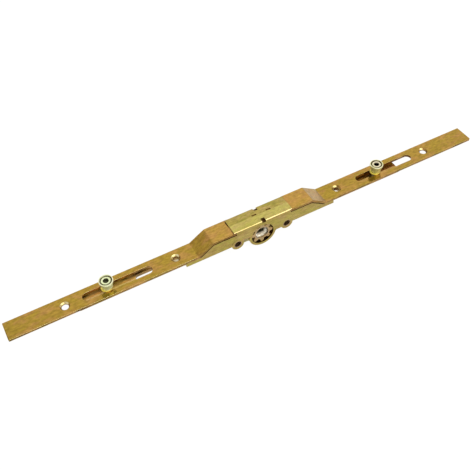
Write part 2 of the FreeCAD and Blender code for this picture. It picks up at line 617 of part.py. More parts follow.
def pinion_outline():
    """The closed outline of the pinion's teeth, at y = 0."""
    flank_steps = 6
    base = sheet.pinion_pitch_radius * math.cos(math.radians(sheet.pressure_angle))
    root, tip = worth(PINION_ROOT), worth(PINION_TIP)
    teeth = int(sheet.pinion_teeth)
    flank_radii = [base + (tip - base) * step / flank_steps for step in range(flank_steps + 1)]
    edges = []
    for tooth in range(teeth):
        middle = 2 * math.pi * tooth / teeth
        following = middle + 2 * math.pi / teeth
        rising = [gear_point(r, middle - tooth_half_angle(r)) for r in flank_radii]
        falling = [gear_point(r, middle + tooth_half_angle(r)) for r in reversed(flank_radii)]
        root_half = tooth_half_angle(base)
        foot_in = gear_point(root, middle - root_half)
        foot_out = gear_point(root, middle + root_half)
        next_foot = gear_point(root, following - root_half)
        edges.append(Part.LineSegment(foot_in, rising[0]))
        for flank in (rising, falling):
            curve = Part.BSplineCurve()
            curve.interpolate(flank)
            edges.append(curve)
        edges.insert(-1, Part.Arc(rising[-1], gear_point(tip, middle), falling[0]))
        edges.append(Part.LineSegment(falling[-1], foot_out))
        edges.append(Part.Arc(foot_out, gear_point(root, (middle + following) / 2), next_foot))
    return Part.Wire([edge.toShape() for edge in edges])


def make_pinion(name):
    half_width = worth(WALL_INSIDE) - sheet.pinion_end_play
    half_length = worth(HALF_WIDTH) - sheet.journal_recess
    solid = Part.Face(pinion_outline()).extrude(FreeCAD.Vector(0, 2 * half_length, 0))
    solid.translate(FreeCAD.Vector(0, -half_length, 0))
    for end in (-1, 1):
        outward = FreeCAD.Vector(0, end, 0)
        step_length = half_length - half_width
        outside = Part.makeCylinder(2 * worth(PINION_TIP), step_length, outward * half_width, outward)
        journal = Part.makeCylinder(worth(JOURNAL_RADIUS), step_length, outward * half_width, outward)
        solid = solid.cut(outside.cut(journal))
        floor = outward * (half_length - sheet.hub_recess_depth)
        recess = Part.makeCylinder(worth(HUB_RECESS_RADIUS), sheet.hub_recess_depth, floor, outward)
        solid = solid.cut(recess)
    square = sheet.spindle_square
    corner = FreeCAD.Vector(-square / 2, -half_length, -square / 2)
    solid = solid.cut(Part.makeBox(square, 2 * half_length, square, corner))
    pinion = doc.addObject("Part::Feature", name)
    pinion.Label = name
    pinion.Shape = solid.Solids[0]
    pinion.Placement = FreeCAD.Placement()
    return pinion


# Rack: straight teeth below, thicker ends that the rods are riveted to.

def slide_x(expression):
    """A place measured from the middle of the rack, in the rest position."""
    return f"({expression} - {TRAVEL} / 2)"


def make_rack(name):
    body = new_body(name)
    profile = new_sketch(body, f"{name}_profile", "XZ_Plane")
    tooth_root = "(dims.pinion_pitch_radius + dims.rack_dedendum)"
    draw_outline(profile, [
        (slide_x(f"-{RACK_END_X}"), RACK_TOP), (slide_x(RACK_END_X), RACK_TOP),
        (slide_x(RACK_END_X), ROD_HIGH_TOP), (slide_x(RACK_STEP_X), ROD_HIGH_TOP),
        (slide_x(RACK_STEP_X), tooth_root), (slide_x(f"-{RACK_STEP_X}"), tooth_root),
        (slide_x(f"-{RACK_STEP_X}"), ROD_HIGH_TOP), (slide_x(f"-{RACK_END_X}"), ROD_HIGH_TOP),
    ])
    width = f"2 * ({WALL_INSIDE} - dims.rack_side_clearance)"
    pad(body, profile, width, both_ways=True)

    tooth = new_sketch(body, f"{name}_tooth", "XZ_Plane")
    middle = slide_x(f"-{RACK_PITCH} * (dims.rack_teeth - 1) / 2")
    tip_level = "(dims.pinion_pitch_radius - dims.rack_addendum)"
    draw_outline(tooth, [
        (f"{middle} - {TOOTH_HALF_ROOT}", tooth_root), (f"{middle} + {TOOTH_HALF_ROOT}", tooth_root),
        (f"{middle} + {TOOTH_HALF_TIP}", tip_level), (f"{middle} - {TOOTH_HALF_TIP}", tip_level),
    ])
    first = pad(body, tooth, width, both_ways=True)
    row = body.newObject("PartDesign::LinearPattern", f"{name}_teeth")
    row.Originals = [first]
    row.Direction = (tooth, ["H_Axis"])
    row.setExpression("Length", f"{RACK_PITCH} * (dims.rack_teeth - 1)")
    row.setExpression("Occurrences", "dims.rack_teeth")
    body.Tip = row

    rivets = new_sketch(body, f"{name}_rivet_holes", "XY_Plane")
    for hand in (-1, 1):
        for place in (RIVET_FIRST_X, RIVET_SECOND_X):
            draw_circle(rivets, slide_x(f"{hand} * {place}"), "0", "dims.rivet_radius")
    pocket(body, rivets)
    return body


# Rods: flat bars that run under the faceplate and step up to the rack at their inner ends.

def make_rod(name, side, end, roller):
    def from_rack(expression):
        return slide_x(f"{side} * {expression}")

    body = new_body(name)
    profile = new_sketch(body, f"{name}_profile", "XZ_Plane")
    fall = f"({ROD_HIGH_TOP} - {ROD_LOW_TOP})"
    slant = f"sqrt(dims.joggle_run ^ 2 + {fall} ^ 2)"
    shift = f"(dims.rod_thick * ({slant} - dims.joggle_run) / {fall})"
    outer = f"{side} * {end}"
    draw_outline(profile, [
        (from_rack(ROD_INNER_X), ROD_HIGH_TOP),
        (from_rack(JOGGLE_HIGH_X), ROD_HIGH_TOP),
        (from_rack(JOGGLE_LOW_X), ROD_LOW_TOP),
        (outer, ROD_LOW_TOP),
        (outer, ROD_LOW_UNDER),
        (from_rack(f"({JOGGLE_LOW_X} - {shift})"), ROD_LOW_UNDER),
        (from_rack(f"({JOGGLE_HIGH_X} - {shift})"), ROD_HIGH_UNDER),
        (from_rack(ROD_INNER_X), ROD_HIGH_UNDER),
    ])
    last = pad(body, profile, f"2 * ({WALL_INSIDE} - dims.rod_side_clearance)", both_ways=True)
    doc.recompute()
    end_x = worth(outer)

    def end_corner(points):
        upright = abs(points[0].z - points[2].z) > worth("dims.rod_thick") / 2
        return upright and all(abs(p.x - end_x) < NEAR for p in points)

    round_edges(body, last, edges_at(last.Shape, end_corner), "dims.rod_corner_radius", "end")

    guide = new_sketch(body, f"{name}_guide_slot", "XY_Plane")
    bush = plate_x(side, "dims.inner_screw_x")
    reach = "(dims.bush_radius + dims.guide_margin)"
    overrun = "dims.guide_overrun" if side < 0 else "0"
    draw_slot(guide, f"({bush} - {TRAVEL} - {reach} - {overrun})", f"({bush} + {reach})",
              "(dims.bush_radius + dims.guide_clearance)")
    pocket(body, guide)

    holes = new_sketch(body, f"{name}_holes", "XY_Plane")
    draw_circle(holes, f"({side} * {roller} - dims.eccentricity)", "0",
                "(dims.stud_shank_radius + dims.stud_clearance)")
    heads = new_sketch(body, f"{name}_rivet_heads", "XY_Plane", ROD_HIGH_UNDER)
    for place in (RIVET_FIRST_X, RIVET_SECOND_X):
        draw_circle(holes, from_rack(place), "0", "dims.rivet_radius")
        draw_circle(heads, from_rack(place), "0", "dims.rivet_head_radius")
    pocket(body, holes)
    pocket(body, heads, "dims.rivet_head_thick", reverse=True)
    return body


def make_rod_rivets(name, side):
    """The two flush rivets that join one rod to the rack."""
    rivets = []
    for number, place in enumerate((RIVET_FIRST_X, RIVET_SECOND_X), start=1):
        shank = doc.addObject("Part::Cylinder", f"{name}_shank_{number}")
        shank.setExpression("Radius", "dims.rivet_radius")
        shank.setExpression("Height", f"{RACK_TOP} - {ROD_HIGH_UNDER}")
        head = doc.addObject("Part::Cylinder", f"{name}_head_{number}")
        head.setExpression("Radius", "dims.rivet_head_radius")
        head.setExpression("Height", "dims.rivet_head_thick")
        for piece in (shank, head):
            piece.setExpression("Placement.Base.x", slide_x(f"{side} * {place}"))
            piece.setExpression("Placement.Base.z", ROD_HIGH_UNDER)
        rivet = doc.addObject("Part::Fuse", f"{name}_{number}")
        rivet.Base = shank
        rivet.Tool = head
        rivet.Refine = True
        rivets.append(rivet)
    pair = doc.addObject("Part::Compound", name)
    pair.Label = name
    pair.Links = rivets
    return pair


# Roller studs: an eccentric stud held in the rod, its collar and washer, and a turning roller.

def stud_place(body, side, roller, offset="0"):
    body.setExpression("Placement.Base.x", f"{side} * {roller} - dims.eccentricity + {offset}")


def make_stud(name, side, roller):
    """Shank through the rod, journal and socket head on an axis beside the shank's."""
    body = new_body(name)
    levels = [
        ("peen", "0", "dims.peen_radius", f"({WASHER_UNDER} - dims.peen_thick)", WASHER_UNDER),
        ("shank", "0", "dims.stud_shank_radius", WASHER_UNDER, COLLAR_TOP),
        ("journal", "dims.eccentricity", "dims.stud_journal_radius", COLLAR_TOP, STUD_HEAD_UNDER),
        ("head", "dims.eccentricity", "dims.stud_head_radius", STUD_HEAD_UNDER, STUD_HEAD_TOP),
    ]
    for label, centre, radius, low, high in levels:
        disc = new_sketch(body, f"{name}_{label}", "XY_Plane", low)
        draw_circle(disc, centre, "0", radius)
        pad(body, disc, f"{high} - {low}")
    socket = new_sketch(body, f"{name}_socket", "XY_Plane", STUD_HEAD_TOP)
    flat = "dims.socket_across / 2"
    half_side = "dims.socket_across / sqrt(12)"
    point = "dims.socket_across / sqrt(3)"
    corners = [("1", flat, half_side), ("0", flat, point), ("-1", flat, half_side),
               ("-1", flat, f"-{half_side}"), ("0", flat, f"-{point}"), ("1", flat, f"-{half_side}")]
    draw_outline(socket, [(f"dims.eccentricity + {hand} * {across}", up) for hand, across, up in corners])
    pocket(body, socket, "dims.socket_depth")
    stud_place(body, side, roller)
    return body


def make_ring(name, side, roller, outside, inside, low, high):
    """A flat ring on the stud's shank axis."""
    body = new_body(name)
    ring = new_sketch(body, f"{name}_ring", "XY_Plane", low)
    draw_circle(ring, "0", "0", outside)
    draw_circle(ring, "0", "0", inside)
    pad(body, ring, f"{high} - {low}")
    stud_place(body, side, roller)
    return body


def make_roller(name, side, roller):
    """A mushroom-shaped sleeve that turns on the stud's journal."""
    body = new_body(name)
    section = new_sketch(body, f"{name}_section", "XZ_Plane")
    bore = "(dims.stud_journal_radius + dims.stud_clearance)"
    foot = f"({COLLAR_TOP} + dims.run_clearance)"
    lip = f"({ROLLER_TOP} - dims.roller_lip)"
    recess_floor = f"({STUD_HEAD_UNDER} - dims.stud_clearance)"
    draw_outline(section, [
        (bore, foot),
        ("dims.roller_waist_radius", foot),
        ("dims.roller_waist_radius", f"({foot} + dims.roller_foot)"),
        ("dims.roller_neck_radius", lip),
        ("dims.roller_top_radius", lip),
        ("dims.roller_top_radius", ROLLER_TOP),
        ("dims.roller_recess_radius", ROLLER_TOP),
        ("dims.roller_recess_radius", recess_floor),
        (bore, recess_floor),
    ])
    turn(body, section)
    stud_place(body, side, roller, "dims.eccentricity")
    return body


nodes = [
    make_faceplate("faceplate_left", -1),
    make_faceplate("faceplate_right", 1),
    make_case_half("case_front", -1),
    make_case_half("case_back", 1),
    make_pinion("drive_pinion"),
    make_rack("drive_rack"),
]
for hand, side, rod_end, roller_at in (("left", -1, "dims.rod_left_end", "dims.roller_left_x"),
                                       ("right", 1, "dims.rod_right_end", "dims.roller_right_x")):
    nodes += [
        make_screw_sleeve(f"screw_sleeve_{hand}", side),
        make_guide_bush(f"guide_bush_{hand}", side),
        make_rod(f"rod_{hand}", side, rod_end, roller_at),
        make_rod_rivets(f"rod_rivets_{hand}", side),
        make_stud(f"roller_stud_{hand}", side, roller_at),
        make_ring(f"stud_collar_{hand}", side, roller_at, "dims.collar_radius",
                  "dims.stud_shank_radius", COLLAR_UNDER, COLLAR_TOP),
        make_ring(f"stud_washer_{hand}", side, roller_at, "dims.washer_radius",
                  "dims.stud_shank_radius", WASHER_UNDER, WASHER_TOP),
        make_roller(f"roller_{hand}", side, roller_at),
    ]

doc.recompute()
for item in doc.Objects:
    if {"Invalid", "Error"} & set(item.State):
        raise RuntimeError(f"{item.Name} did not build: {item.State}")
for node in nodes:
    if node.Shape.isNull() or not node.Shape.isValid():
        raise RuntimeError(f"{node.Label} has no valid shape")

os.makedirs("parts", exist_ok=True)
for node in nodes:
    node.Shape.exportStep(f"parts/{node.Label}.step")
    box = node.Shape.BoundBox
    print(f"{node.Label}: {len(node.Shape.Solids)} solid(s), {node.Shape.Volume:.2f} mm3, "
          f"x {box.XMin:.2f} {box.XMax:.2f}, y {box.YMin:.2f} {box.YMax:.2f}, z {box.ZMin:.2f} {box.ZMax:.2f}")
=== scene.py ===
# %% [markdown]
# # Dressing an espagnolette bolt
#
# The bolt comes in from CAD as a finished frame: two bent faceplates, a gear case in two halves,
# a pinion with a square hole, a rack with two rods, and two mushroom-headed rollers. Blender's
# work here is the finish. Every piece keeps its size and place, gets softened edges, and gets a
# metal that shows how it was made: rolled strip, a pressed case, turned rollers. All of them are
# zinc plated and passivated, which gives the yellow film.

import math

import bpy
from mathutils import Matrix, Vector


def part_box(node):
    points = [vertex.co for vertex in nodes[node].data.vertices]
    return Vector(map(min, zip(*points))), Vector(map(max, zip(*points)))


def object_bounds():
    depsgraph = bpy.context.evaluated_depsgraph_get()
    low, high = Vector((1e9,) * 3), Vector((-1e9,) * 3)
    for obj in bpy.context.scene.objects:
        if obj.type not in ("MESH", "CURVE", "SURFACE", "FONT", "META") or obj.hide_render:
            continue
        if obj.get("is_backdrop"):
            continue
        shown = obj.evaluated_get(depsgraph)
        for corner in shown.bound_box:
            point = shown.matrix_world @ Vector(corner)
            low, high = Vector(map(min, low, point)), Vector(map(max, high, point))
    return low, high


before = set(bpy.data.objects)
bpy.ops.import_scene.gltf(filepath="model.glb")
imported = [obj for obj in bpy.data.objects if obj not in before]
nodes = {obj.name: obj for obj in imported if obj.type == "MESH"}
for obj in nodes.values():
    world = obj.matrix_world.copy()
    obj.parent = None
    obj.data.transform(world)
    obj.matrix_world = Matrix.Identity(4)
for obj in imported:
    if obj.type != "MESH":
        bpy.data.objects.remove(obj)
cad_low, cad_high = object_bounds()
MM_PER_METRE = 1000
print("pieces in the frame:", len(nodes))
print("length in mm:", round((cad_high.x - cad_low.x) * MM_PER_METRE, 1))

# %% [markdown]
# ## The camera
#
# The photograph was taken from the front left and well above, with a rather long lens. A camera
# can be turned by hand until the picture fits, or worked out from known points of the object and
# where they lie in the picture. The second way was used: the yaw, pitch and roll below put the
# ends of the strip, the screw holes and the case where the photograph has them.

# %% Camera
FRAME_PIXELS = 470
FOCAL_PIXELS = 699.55
SENSOR_MM = 36
CAMERA_YAW = math.radians(25.9861)
CAMERA_PITCH = math.radians(48.5401)
CAMERA_ROLL = math.radians(-3.4146)
CAMERA_TARGET = Vector((-0.019812, 0.0, 0.001928))
CAMERA_DISTANCE = 0.53321
CLIP_NEAR = 0.01
CLIP_FAR = 50


def camera_matrix(yaw, pitch, roll, target, distance):
    """Where the camera stands and how it is turned, as one matrix."""
    forward = Vector((math.sin(yaw) * math.cos(pitch),
                      math.cos(yaw) * math.cos(pitch),
                      -math.sin(pitch)))
    level = Vector((math.cos(yaw), -math.sin(yaw), 0.0))
    steep = level.cross(forward)
    right = level * math.cos(roll) + steep * math.sin(roll)
    above = steep * math.cos(roll) - level * math.sin(roll)
    matrix = Matrix((right, above, -forward)).transposed().to_4x4()
    matrix.translation = target - forward * distance
    return matrix


camera_data = bpy.data.cameras.new("photo_camera")
camera_data.sensor_width = SENSOR_MM
camera_data.lens = FOCAL_PIXELS / FRAME_PIXELS * SENSOR_MM
camera_data.clip_start = CLIP_NEAR
camera_data.clip_end = CLIP_FAR
camera = bpy.data.objects.new("photo_camera", camera_data)
camera.matrix_world = camera_matrix(
    CAMERA_YAW, CAMERA_PITCH, CAMERA_ROLL, CAMERA_TARGET, CAMERA_DISTANCE)
bpy.context.scene.collection.objects.link(camera)
bpy.context.scene.camera = camera
print("lens in mm:", round(camera_data.lens, 2))

# %% [markdown]
# ## A few tools for shader nodes
#
# A material in Blender is a small network of nodes. Written out in full, a network is long, so
# these helpers do the joining: one feeds a value or another node's output into a socket, one
# makes a Math node, one mixes two colours. A colour is written as a screen shows it and turned
# into the linear numbers that shaders use. Effects that several materials need become node
# groups, which work like functions with named inputs and outputs.

# %% Colours and joins
# A Mix node has sockets for each kind of data; these are the places of the colour ones.
MIX_FIRST = 6
MIX_SECOND = 7
MIX_RESULT = 2


def tint(red, green, blue):
    """A screen colour, from 0 to 1, made linear; the numbers are those of the sRGB curve."""
    def linear(part):
        if part <= 0.04045:
            return part / 12.92
        return ((part + 0.055) / 1.055) ** 2.4
    return (linear(red), linear(green), linear(blue), 1.0)


def feed(tree, source, socket):
    """Joins an output to an input, or writes a plain value into it."""
    if isinstance(source, bpy.types.NodeSocket):
        tree.links.new(source, socket)
    else:
        socket.default_value = source


def maths(tree, operation, *values):
    """A Math node, such as ADD or MULTIPLY, with its values fed in."""
    node = tree.nodes.new("ShaderNodeMath")
    node.operation = operation
    for socket, value in zip(node.inputs, values):
        feed(tree, value, socket)
    return node.outputs[0]


def mix_colours(tree, amount, first, second, blend="MIX"):
    """The first colour at amount 0 and the second, or its blend with the first, at 1."""
    node = tree.nodes.new("ShaderNodeMix")
    node.data_type = "RGBA"
    node.blend_type = blend
    feed(tree, amount, node.inputs[0])
    feed(tree, first, node.inputs[MIX_FIRST])
    feed(tree, second, node.inputs[MIX_SECOND])
    return node.outputs[MIX_RESULT]


def spread(tree, value, low, high, out_low=0.0, out_high=1.0):
    """Stretches the part of a value between low and high over a new range, and cuts it off there."""
    node = tree.nodes.new("ShaderNodeMapRange")
    for socket, number in zip(node.inputs, (value, low, high, out_low, out_high)):
        feed(tree, number, socket)
    return node.outputs[0]


print("a screen's mid grey in linear numbers:", round(tint(0.5, 0.5, 0.5)[0], 3))


# %% Noise and groups
def noise(tree, place, scale, detail=3.0, roughness=0.6):
    """A cloudy pattern from about 0.3 to 0.7; a larger scale makes it finer."""
    node = tree.nodes.new("ShaderNodeTexNoise")
    feed(tree, place, node.inputs["Vector"])
    feed(tree, scale, node.inputs["Scale"])
    node.inputs["Detail"].default_value = detail
    node.inputs["Roughness"].default_value = roughness
    return node.outputs[0]


def object_place(tree):
    """The shaded point in the piece's own coordinates, in metres."""
    return tree.nodes.new("ShaderNodeTexCoord").outputs["Object"]


def stretched(tree, place, factors):
    """A place with each direction scaled; a factor below 1 draws a pattern out that way."""
    node = tree.nodes.new("ShaderNodeMapping")
    feed(tree, place, node.inputs["Vector"])
    feed(tree, factors, node.inputs["Scale"])
    return node.outputs[0]


def new_group(name, inputs, outputs):
    """An empty shader node group with named sockets; gives the group, its inputs and its outputs."""
    group = bpy.data.node_groups.new(name, "ShaderNodeTree")
    for label, kind, value in inputs:
        socket = group.interface.new_socket(label, in_out="INPUT", socket_type=kind)
        socket.default_value = value
    for label, kind in outputs:
        group.interface.new_socket(label, in_out="OUTPUT", socket_type=kind)
    entry = group.nodes.new("NodeGroupInput")
    leave = group.nodes.new("NodeGroupOutput")
    return group, entry.outputs, leave.inputs


NUMBER = "NodeSocketFloat"
COLOUR = "NodeSocketColor"
VECTOR = "NodeSocketVector"
print("kinds of group socket:", NUMBER, COLOUR, VECTOR)

# %% [markdown]
# ## The yellow film
#
# Passivated zinc is never one colour. The film is thinner or thicker from place to place, and
# turns from gold towards olive green where it is thick and towards rose where it is thin. This
# group lays two noises over a base colour, one for each shift, and a third that makes the film a
# little lighter or darker. All three are drawn out along the piece, because it hung lengthwise
# in the bath.

# %% Film group
FILM_STRETCH = (0.45, 1.0, 1.0)
ROSE_SCALE = 1.7
SHADE_SCALE = 5.5
OLIVE_BAND = (0.44, 0.58)
ROSE_BAND = (0.46, 0.62)
SHADE_BAND = (0.35, 0.65)
film, given, made = new_group(
    "passivation_film",
    [("Gold", COLOUR, tint(0.62, 0.50, 0.21)),
     ("Olive", COLOUR, tint(0.60, 0.56, 0.24)),
     ("Rose", COLOUR, tint(0.66, 0.48, 0.27)),
     ("Blotch Scale", NUMBER, 100.0),
     ("Olive Amount", NUMBER, 0.5),
     ("Rose Amount", NUMBER, 0.5),
     ("Shade Amount", NUMBER, 0.15)],
    [("Color", COLOUR)])
film_place = stretched(film, object_place(film), FILM_STRETCH)
thick = noise(film, film_place, given["Blotch Scale"], detail=5.0)
thin_scale = maths(film, "MULTIPLY", given["Blotch Scale"], ROSE_SCALE)
thin = noise(film, film_place, thin_scale, detail=4.0, roughness=0.55)
olive_share = maths(film, "MULTIPLY", spread(film, thick, *OLIVE_BAND), given["Olive Amount"])
rose_share = maths(film, "MULTIPLY", spread(film, thin, *ROSE_BAND), given["Rose Amount"])
olive_mix = mix_colours(film, olive_share, given["Gold"], given["Olive"])
rose_mix = mix_colours(film, rose_share, olive_mix, given["Rose"])
shade_scale = maths(film, "MULTIPLY", given["Blotch Scale"], SHADE_SCALE)
shade = spread(film, noise(film, film_place, shade_scale), *SHADE_BAND, -1.0, 1.0)
shade_factor = maths(film, "MULTIPLY_ADD", shade, given["Shade Amount"], 1.0)
feed(film, mix_colours(film, 1.0, rose_mix, shade_factor, "MULTIPLY"), made["Color"])
print("film group sockets:", len(film.interface.items_tree))

# %% [markdown]
# ## Rolled and turned grain
#
# Strip steel keeps long, hair-thin streaks from the rolls, and a turned part keeps rings round
# its axis from the tool. Both are one noise, squeezed in one direction: along X for the strip,
# and read from the distance to the axis for the turned parts. They give a value for the colour
# and a height for the bump.

# %% Rolled grain group
GRAIN_BAND = (0.36, 0.64)
SLOW_SHARE = 0.22


def vector_of(tree, *parts):
    """Joins up to three numbers into one vector."""
    node = tree.nodes.new("ShaderNodeCombineXYZ")
    for socket, part in zip(node.inputs, parts):
        feed(tree, part, socket)
    return node.outputs[0]


rolled, given, made = new_group(
    "rolled_grain",
    [("Streak Scale", NUMBER, 1400.0), ("Streak Length", NUMBER, 30.0)],
    [("Streaks", NUMBER), ("Height", NUMBER)])
squeeze = maths(rolled, "DIVIDE", 1.0, given["Streak Length"])
streak_place = stretched(rolled, object_place(rolled), vector_of(rolled, squeeze, 1.0, 1.0))
fine = noise(rolled, streak_place, given["Streak Scale"])
slow_scale = maths(rolled, "MULTIPLY", given["Streak Scale"], SLOW_SHARE)
slow = noise(rolled, streak_place, slow_scale)
streaks = maths(rolled, "MULTIPLY", maths(rolled, "ADD", fine, slow), 0.5)
feed(rolled, spread(rolled, streaks, *GRAIN_BAND), made["Streaks"])
feed(rolled, fine, made["Height"])
print("rolled grain sockets:", len(rolled.interface.items_tree))

# %% Turned grain group
# For an axis along Z or Y: the two directions across it, and the one along it
ACROSS = {"Z": (1.0, 1.0, 0.0), "Y": (1.0, 0.0, 1.0)}
ALONG = {"Z": (0.0, 0.0, 1.0), "Y": (0.0, 1.0, 0.0)}


def vector_maths(tree, operation, *values):
    """A Vector Math node, which gives a number for a length or a dot product, or else a vector."""
    node = tree.nodes.new("ShaderNodeVectorMath")
    node.operation = operation
    for socket, value in zip(node.inputs, values):
        feed(tree, value, socket)
    gives_number = operation in ("LENGTH", "DOT_PRODUCT")
    return node.outputs["Value" if gives_number else "Vector"]


turned, given, made = new_group(
    "turned_grain",
    [("Axis Point", VECTOR, (0.0, 0.0, 0.0)),
     ("Across", VECTOR, ACROSS["Z"]),
     ("Along", VECTOR, ALONG["Z"]),
     ("Ring Scale", NUMBER, 2500.0)],
    [("Rings", NUMBER), ("Height", NUMBER)])
from_centre = vector_maths(turned, "SUBTRACT", object_place(turned), given["Axis Point"])
radius = vector_maths(turned, "LENGTH", vector_maths(turned, "MULTIPLY", from_centre, given["Across"]))
level = vector_maths(turned, "DOT_PRODUCT", from_centre, given["Along"])
rings = noise(turned, vector_of(turned, radius, level), given["Ring Scale"])
feed(turned, spread(turned, rings, *GRAIN_BAND), made["Rings"])
feed(turned, rings, made["Height"])
print("turned grain sockets:", len(turned.interface.items_tree))

# %% [markdown]
# ## Worn edges, dirty and shaded corners, and handling marks
#
# Plating is thinnest on an outside edge, where boxes and hands rub it, so edges shine a little
# paler. Corners and slots keep oil and dust and go dark brown, and this brown is also painted
# shade. Blender finds edges by comparing the true normal with one that is rounded over a small
# radius, and corners by how much of the sky they see. Handling marks are a fine noise that only
# changes the gloss.

# %% Wear groups
EDGE_SAMPLES = 6
EDGE_BAND = (0.998, 0.90)
BREAKUP_BAND = (0.35, 0.6)
OPENNESS_SAMPLES = 8
MARKS_STRETCH = (0.5, 1.0, 1.0)
MARKS_BAND = (0.35, 0.7)
wear, given, made = new_group(
    "edge_wear",
    [("Reach", NUMBER, 0.0004), ("Breakup Scale", NUMBER, 500.0), ("Amount", NUMBER, 1.0)],
    [("Mask", NUMBER)])
rounded = wear.nodes.new("ShaderNodeBevel")
rounded.samples = EDGE_SAMPLES
feed(wear, given["Reach"], rounded.inputs["Radius"])
true_normal = wear.nodes.new("ShaderNodeNewGeometry").outputs["True Normal"]
agreement = vector_maths(wear, "DOT_PRODUCT", rounded.outputs[0], true_normal)
edge = spread(wear, agreement, *EDGE_BAND)
breakup = spread(wear, noise(wear, object_place(wear), given["Breakup Scale"]), *BREAKUP_BAND)
broken_edge = maths(wear, "MULTIPLY", edge, breakup)
feed(wear, maths(wear, "MULTIPLY", broken_edge, given["Amount"]), made["Mask"])

# The brown mask of corners and slots is partly oil and dust, partly painted shade.
grime_and_shade, given, made = new_group(
    "corner_grime_and_shade",
    [("Reach", NUMBER, 0.003), ("Start", NUMBER, 0.75), ("Full", NUMBER, 0.2)],
    [("Mask", NUMBER)])
openness = grime_and_shade.nodes.new("ShaderNodeAmbientOcclusion")
openness.samples = OPENNESS_SAMPLES
feed(grime_and_shade, given["Reach"], openness.inputs["Distance"])
feed(grime_and_shade, spread(grime_and_shade, openness.outputs["AO"], given["Start"], given["Full"]), made["Mask"])

marks, given, made = new_group(
    "handling_marks",
    [("Scale", NUMBER, 350.0)],
    [("Marks", NUMBER)])
marks_place = stretched(marks, object_place(marks), MARKS_STRETCH)
smear = noise(marks, marks_place, given["Scale"], detail=6.0, roughness=0.65)
feed(marks, spread(marks, smear, *MARKS_BAND), made["Marks"])
print("wear groups:", wear.name, grime_and_shade.name, marks.name)

# %% [markdown]
# ## Masks by place
#
# Some colours follow a place on the piece and not chance. The raised part of the faceplate was
# stretched in the press and its film is rosier. Rounded edges that face the front lamp are painted
# pale as a painted highlight, and seams, slot walls and hollows are painted brown as painted shade.
# The masks below read the object's own coordinates and its surface direction, so they stay on the
# piece when it moves. Each gives 1 inside a place and 0 outside.
# A mask is written once and needed in several materials, so the code below hands on the mask's
# maker, which draws its nodes in whichever material asks for it.

# %% Readings of a surface


def place_group(tree, group, **values):
    """Puts a group into a material; an underscore in a value's name stands for a space."""
    node = tree.nodes.new("ShaderNodeGroup")
    node.node_tree = group
    for label, value in values.items():
        feed(tree, value, node.inputs[label.replace("_", " ")])
    return node.outputs


def one_part(tree, vector, part):
    """The X, Y or Z of a vector."""
    parts = tree.nodes.new("ShaderNodeSeparateXYZ")
    feed(tree, vector, parts.inputs[0])
    return parts.outputs[part]


def along(tree, part):
    """One coordinate of the shaded point, in metres."""
    return one_part(tree, object_place(tree), part)


def facing(tree, part):
    """How much the surface looks along one axis, from -1 to 1."""
    return one_part(tree, tree.nodes.new("ShaderNodeTexCoord").outputs["Normal"], part)


def size_of(tree, value):
    """A value without its sign."""
    return maths(tree, "ABSOLUTE", value)


def all_of(tree, *masks):
    """1 only where every mask is 1."""
    result = masks[0]
    for mask in masks[1:]:
        result = maths(tree, "MULTIPLY", result, mask)
    return result


print("groups to place so far:", len(bpy.data.node_groups))

# %% Makers of masks
SOFT_MM = 0.1


def more_than(tree, length, limit_mm, soft_mm=SOFT_MM):
    """1 past a limit in mm and 0 before it; soft_mm is how far the change reaches either way."""
    start, full = limit_mm - soft_mm, limit_mm + soft_mm
    return spread(tree, length, start / MM_PER_METRE, full / MM_PER_METRE)


def less_than(tree, length, limit_mm, soft_mm=SOFT_MM):
    """1 before a limit in mm and 0 past it."""
    start, full = limit_mm + soft_mm, limit_mm - soft_mm
    return spread(tree, length, start / MM_PER_METRE, full / MM_PER_METRE)


def at(part, compare, limit_mm, soft_mm=SOFT_MM):
    """Makes a mask from a coordinate; compare is more_than or less_than."""
    def mask(tree):
        return compare(tree, along(tree, part), limit_mm, soft_mm)
    return mask


def off_middle(part, compare, limit_mm, soft_mm=SOFT_MM):
    """As at, for the distance from the middle on either side."""
    def mask(tree):
        return compare(tree, size_of(tree, along(tree, part)), limit_mm, soft_mm)
    return mask


def looking(part, start, full):
    """Makes a mask from how much the surface looks along one axis: 0 at start, 1 at full."""
    def mask(tree):
        return spread(tree, facing(tree, part), start, full)
    return mask


def overlap(*makers):
    """Makes a mask that is 1 only where all the given ones are."""
    def mask(tree):
        return all_of(tree, *[make(tree) for make in makers])
    return mask


print("edges of the masks are soft over mm:", 2 * SOFT_MM)

# %% [markdown]
# ## Lean and distance
#
# Many masks need one of two measures, so each measure is a group of its own. One tells how a
# surface leans: upright like a wall, or slanted like a rounded edge or a countersink. The other
# is the distance from an axis, which finds rims, grooves and bores.

# %% Lean and distance groups
# How level a surface is, from 0 for a wall to 1 for a floor: where a mask starts, where it is full
UPRIGHT_BAND = (0.5, 0.2)
NOT_UPRIGHT_BAND = (0.2, 0.4)
NOT_LEVEL_BAND = (0.97, 0.88)
surface_lean, given, made = new_group("surface_lean", [], [("Upright", NUMBER), ("Slanted", NUMBER)])
levelness = size_of(surface_lean, facing(surface_lean, "Z"))
feed(surface_lean, spread(surface_lean, levelness, *UPRIGHT_BAND), made["Upright"])
not_upright = spread(surface_lean, levelness, *NOT_UPRIGHT_BAND)
not_level = spread(surface_lean, levelness, *NOT_LEVEL_BAND)
feed(surface_lean, all_of(surface_lean, not_upright, not_level), made["Slanted"])

axis_distance, given, made = new_group(
    "axis_distance",
    [("Axis Point", VECTOR, (0.0, 0.0, 0.0)), ("Across", VECTOR, ACROSS["Z"])],
    [("Distance", NUMBER)])
offset = vector_maths(axis_distance, "SUBTRACT", object_place(axis_distance), given["Axis Point"])
flat = vector_maths(axis_distance, "MULTIPLY", offset, given["Across"])
feed(axis_distance, vector_maths(axis_distance, "LENGTH", flat), made["Distance"])


def upright(tree):
    """1 where a surface stands like a wall."""
    return place_group(tree, surface_lean)["Upright"]


def slanted(tree):
    """1 where a surface leans between level and upright, as on a rounded edge or a countersink."""
    return place_group(tree, surface_lean)["Slanted"]


